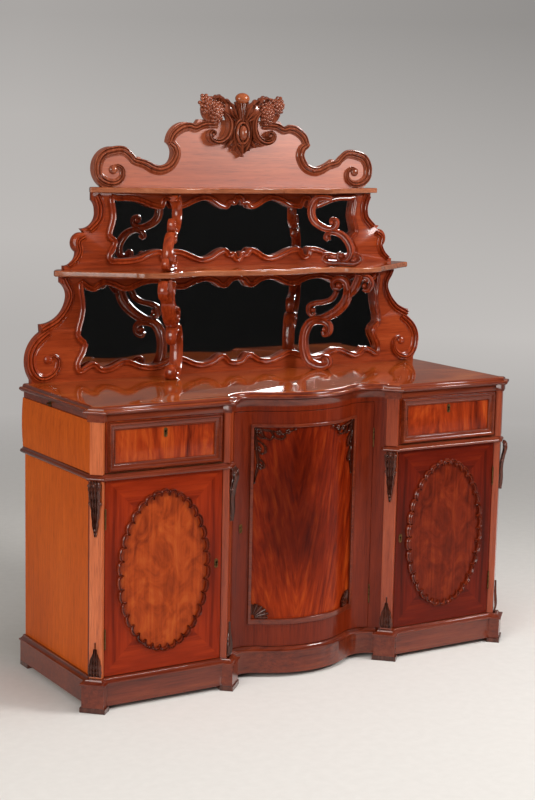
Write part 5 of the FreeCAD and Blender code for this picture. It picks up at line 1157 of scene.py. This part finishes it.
def oval_spot(turn, inset):
    """A point of the ring, a distance in from the outer edge."""
    wide, tall = OVAL_HALF_WIDE - inset, OVAL_HALF_TALL - inset
    return Vector((OVAL_X + wide * math.cos(turn), OVAL_Z + tall * math.sin(turn), 0.0))


for side, sign in (("right", 1), ("left", -1)):
    bm = bmesh.new()
    step = 2 * math.pi / SCALLOPS
    for count in range(SCALLOPS):
        spots = zip(SHELL_SHARES, SHELL_INSETS)
        line = smooth_line([oval_spot(step * (count + share), inset) for share, inset in spots], fine=4)
        last = len(line) - 1
        widths = [0.0016 + 0.0046 * math.sin(math.pi * spot / last) for spot in range(last + 1)]
        swept(bm, TWO_RIBS, line, widths, facing(FACE), stands(0.0115, 0.006))
    if sign < 0:
        bmesh.ops.scale(bm, vec=(-1, 1, 1), verts=bm.verts)
    finished(bm, side + "_oval_shells", side + "_door", "carving", SHELLS, side + "_door_oval", both=False)

# %% [markdown]
# ## Foliage in the corners of the bay door
# Pierced scrolls hang from the upper corners of the panel and a fan of leaves stands in each lower
# one. They are drawn flat and then pressed onto the bow, as a carver bends thin work in steam.

# %%
# Bay door carvings
BOW_RADIUS = 0.297
BOW_CENTRE = 0.310 - 0.2662
CARVING_PROUD = 0.0078
CORNER = (-0.197, 0.203)


def bowed(bm):
    """Moves flat work, drawn with its back at y = 0, onto the bowed face."""
    for vertex in bm.verts:
        vertex.co.y += BOW_CENTRE - math.sqrt(BOW_RADIUS ** 2 - vertex.co.x ** 2)


HEADS = [
    [
        (-0.198, 0.846, 0.004), (-0.17, 0.842, 0.0045), (-0.14, 0.838, 0.004), (-0.115, 0.83, 0.0035),
        (-0.095, 0.836, 0.003), (-0.075, 0.845, 0.0015),
    ], [
        (-0.196, 0.848, 0.004), (-0.192, 0.81, 0.0045), (-0.188, 0.77, 0.004), (-0.184, 0.73, 0.004),
        (-0.19, 0.69, 0.003), (-0.194, 0.664, 0.0015),
    ], [
        (-0.15, 0.838, 0.003), (-0.14, 0.818, 0.0035), (-0.12, 0.812, 0.0035), (-0.108, 0.822, 0.003),
        (-0.118, 0.83, 0.002),
    ], [
        (-0.186, 0.806, 0.003), (-0.168, 0.79, 0.0035), (-0.165, 0.77, 0.0035),
        (-0.176, 0.762, 0.003), (-0.182, 0.772, 0.002),
    ],
    [(-0.178, 0.842, 0.003), (-0.172, 0.822, 0.0035), (-0.155, 0.81, 0.003), (-0.146, 0.82, 0.002)],
    [(-0.19, 0.83, 0.003), (-0.178, 0.815, 0.004), (-0.166, 0.815, 0.002)],
    [(-0.186, 0.75, 0.003), (-0.172, 0.735, 0.0035), (-0.168, 0.718, 0.003), (-0.178, 0.712, 0.002)],
]
FLOWERS = [(-0.185, 0.838), (-0.128, 0.834), (-0.186, 0.78), (-0.182, 0.722), (-0.1, 0.838)]
bm = bmesh.new()
flat = facing(0.0)
for table in HEADS:
    line, widths = traced(table)
    swept(bm, LEAF, line, lobed(widths, 4, 0.3), flat, CARVING_PROUD)
    ball(bm, flat, line[-1] + Vector((0, 0, 0.002)), 0.0038, 1.0, 6)
for across, up in FLOWERS:
    for turn in range(5):
        angle = 2 * math.pi * turn / 5
        place = Vector((across + 0.006 * math.cos(angle), up + 0.006 * math.sin(angle), 0.003))
        ball(bm, flat, place, 0.0036, 1.0, 5)
for turn in range(6):
    angle = math.radians(4 + 17 * turn)
    reach = 0.05 - 0.004 * (turn in (0, 5))
    away = Vector((math.cos(angle), math.sin(angle), 0.0))
    tip = Vector((*CORNER, 0.0)) + reach * away
    foot = Vector((CORNER[0] + 0.001, CORNER[1] + 0.001, 0.0)) + 0.01 * away
    line = smooth_line([foot, foot.lerp(tip, 0.5), tip])
    last = len(line) - 1
    widths = [0.0015 + 0.0055 * math.sin(0.15 + 0.8 * math.pi * spot / last) for spot in range(last + 1)]
    swept(bm, GROOVED, line, widths, flat, CARVING_PROUD)
bowed(bm)
finished(bm, "bay_door_foliage", "centre_door", "carving", DARK_CARVING, "centre_door_carvings")

# %% [markdown]
# ## The camera
# The camera stands where the photograph was taken, a place found from the corners of the case. Its
# lens is long, so the sideboard's lines stay nearly parallel.

# %%
# Camera
YAW, PITCH, ROLL = (math.radians(angle) for angle in (32.016, -8.967, 1.201))
CAMERA_PLACE = Vector((-2.99066, -4.7300, 1.78413))
data = bpy.data.cameras.new("camera")
camera = bpy.data.objects.new("camera", data)
bpy.context.scene.collection.objects.link(camera)
forward = Vector((math.sin(YAW) * math.cos(PITCH), math.cos(YAW) * math.cos(PITCH), math.sin(PITCH)))
level = Vector((math.cos(YAW), -math.sin(YAW), 0.0))
upward = level.cross(forward)
right = math.cos(ROLL) * level + math.sin(ROLL) * upward
head = -math.sin(ROLL) * level + math.cos(ROLL) * upward
camera.matrix_world = framed(right, head, -forward, CAMERA_PLACE)
data.sensor_fit = "HORIZONTAL"
data.sensor_width = 36.0
data.lens = 110.79
bpy.context.scene.camera = camera
bpy.context.scene.view_settings.view_transform = "Standard"
print("camera at", [round(value, 3) for value in CAMERA_PLACE], "lens", round(data.lens, 2))

# %% [markdown]
# ## The studio
# One large soft lamp stands to the left, one high at the front right gives the crest its gleam, and a
# wide one hangs overhead. The floor is a pale disk that fades into the grey of the room. The room is
# dim for reflections, and a black card on the right is seen only in them. As in a real studio, that
# keeps mirrors and polish dark.

# %%
# The room and its floor
LEFT_GREYS = [(0.84, 0.445), (0.886, 0.46), (0.94, 0.515), (0.985, 0.49), (1.012, 0.479), (1.07, 0.4)]
RIGHT_GREYS = [(0.84, 0.44), (0.886, 0.545), (0.94, 0.48), (0.985, 0.42), (1.012, 0.38), (1.07, 0.29)]
WARM = (1.0, 0.955, 0.92)  # the greys of the room are a little warm
DIM = (0.15, 0.145, 0.14, 1.0)  # what reflections see
world = bpy.data.worlds.new("room")
bpy.context.scene.world = world
world.use_nodes = True
room = world.node_tree
parts = add(room, "SeparateXYZ", [("Vector", add(room, "TexCoord").outputs["Generated"])]).outputs
height = between(room, parts["Z"], -0.17, 0.08)
greys = [
    ramp(room, height, [((up - 0.83) / 0.25, [grey * part for part in WARM]) for up, grey in table])
    for table in (LEFT_GREYS, RIGHT_GREYS)
]
backdrop = mix(room, "RGBA", between(room, parts["X"], 0.4, 0.65), *greys)
seen = add(room, "LightPath").outputs["Is Camera Ray"]
room.links.new(mix(room, "RGBA", seen, DIM, backdrop), room.nodes["Background"].inputs["Color"])


def staged(bm, title, material):
    """A piece of the studio."""
    piece = shown(bm, title, material)
    return piece


def floor_material():
    """Pale cloth that fades into the room with the distance from the sideboard."""
    material, tree, shader, place = started("pale_floor")
    weave = noise(tree, place, 30.0, 5.0)
    tone = ramp(tree, weave, [(0.3, (0.73, 0.705, 0.67)), (0.7, (0.76, 0.735, 0.7))])
    tree.links.new(tone, shader.inputs["Base Color"])
    shader.inputs["Roughness"].default_value = 0.9
    shader.inputs["Specular IOR Level"].default_value = 0.1
    far = add(tree, "VectorMath", [(0, place)], operation="LENGTH").outputs["Value"]
    fade = between(tree, far, 1.9, 5.2)
    clear = add(tree, "BsdfTransparent").outputs["BSDF"]
    faded = add(tree, "MixShader", [(0, fade), (1, shader.outputs["BSDF"]), (2, clear)]).outputs["Shader"]
    tree.links.new(faded, tree.nodes["Material Output"].inputs["Surface"])
    return material


bm = bmesh.new()
bmesh.ops.create_circle(bm, cap_ends=True, segments=96, radius=6.0)
staged(bm, "floor", floor_material())

# %%
# The black card and the lamps
black = bpy.data.materials.new("black_card")
black.use_nodes = True
matt = black.node_tree.nodes["Principled BSDF"].inputs
matt["Base Color"].default_value = (0.012, 0.012, 0.012, 1.0)
matt["Specular IOR Level"].default_value = 0.0
upright = Matrix.Translation((2.3, -3.0, 0.78)) @ Matrix.Rotation(math.pi / 2, 4, "X")
shape = upright @ Matrix.Diagonal((4.4, 1.56, 1, 1))
bm = bmesh.new()
bmesh.ops.create_grid(bm, x_segments=1, y_segments=1, size=0.5, matrix=shape)
card = staged(bm, "card", black)
card.visible_camera = False
card.visible_diffuse = False
card.visible_shadow = False


def softbox(title, place, target, size, power, colour):
    """An oblong area lamp that faces a target."""
    lamp = bpy.data.lights.new(title, "AREA")
    lamp.shape = "RECTANGLE"
    lamp.size, lamp.size_y = size
    lamp.energy = power
    lamp.color = colour
    thing = bpy.data.objects.new(title, lamp)
    bpy.context.scene.collection.objects.link(thing)
    thing.location = place
    thing.rotation_euler = (Vector(target) - Vector(place)).to_track_quat("-Z", "Y").to_euler()
    print(title, power, "W")
    return thing


softbox("key", (-4.2, -2.9, 2.1), (0, 0, 0.9), (2.4, 2.4), 140, (1.0, 0.97, 0.93))
softbox("window", (2.95, -2.9, 2.85), (0.2, 0.2, 1.7), (1.5, 0.8), 150, (1.0, 0.99, 0.98))
overhead = softbox("overhead", (0.2, -1.2, 4.6), (0, -0.6, 0.0), (3.0, 2.4), 100, (1.0, 1.0, 1.0))
overhead.visible_glossy = False
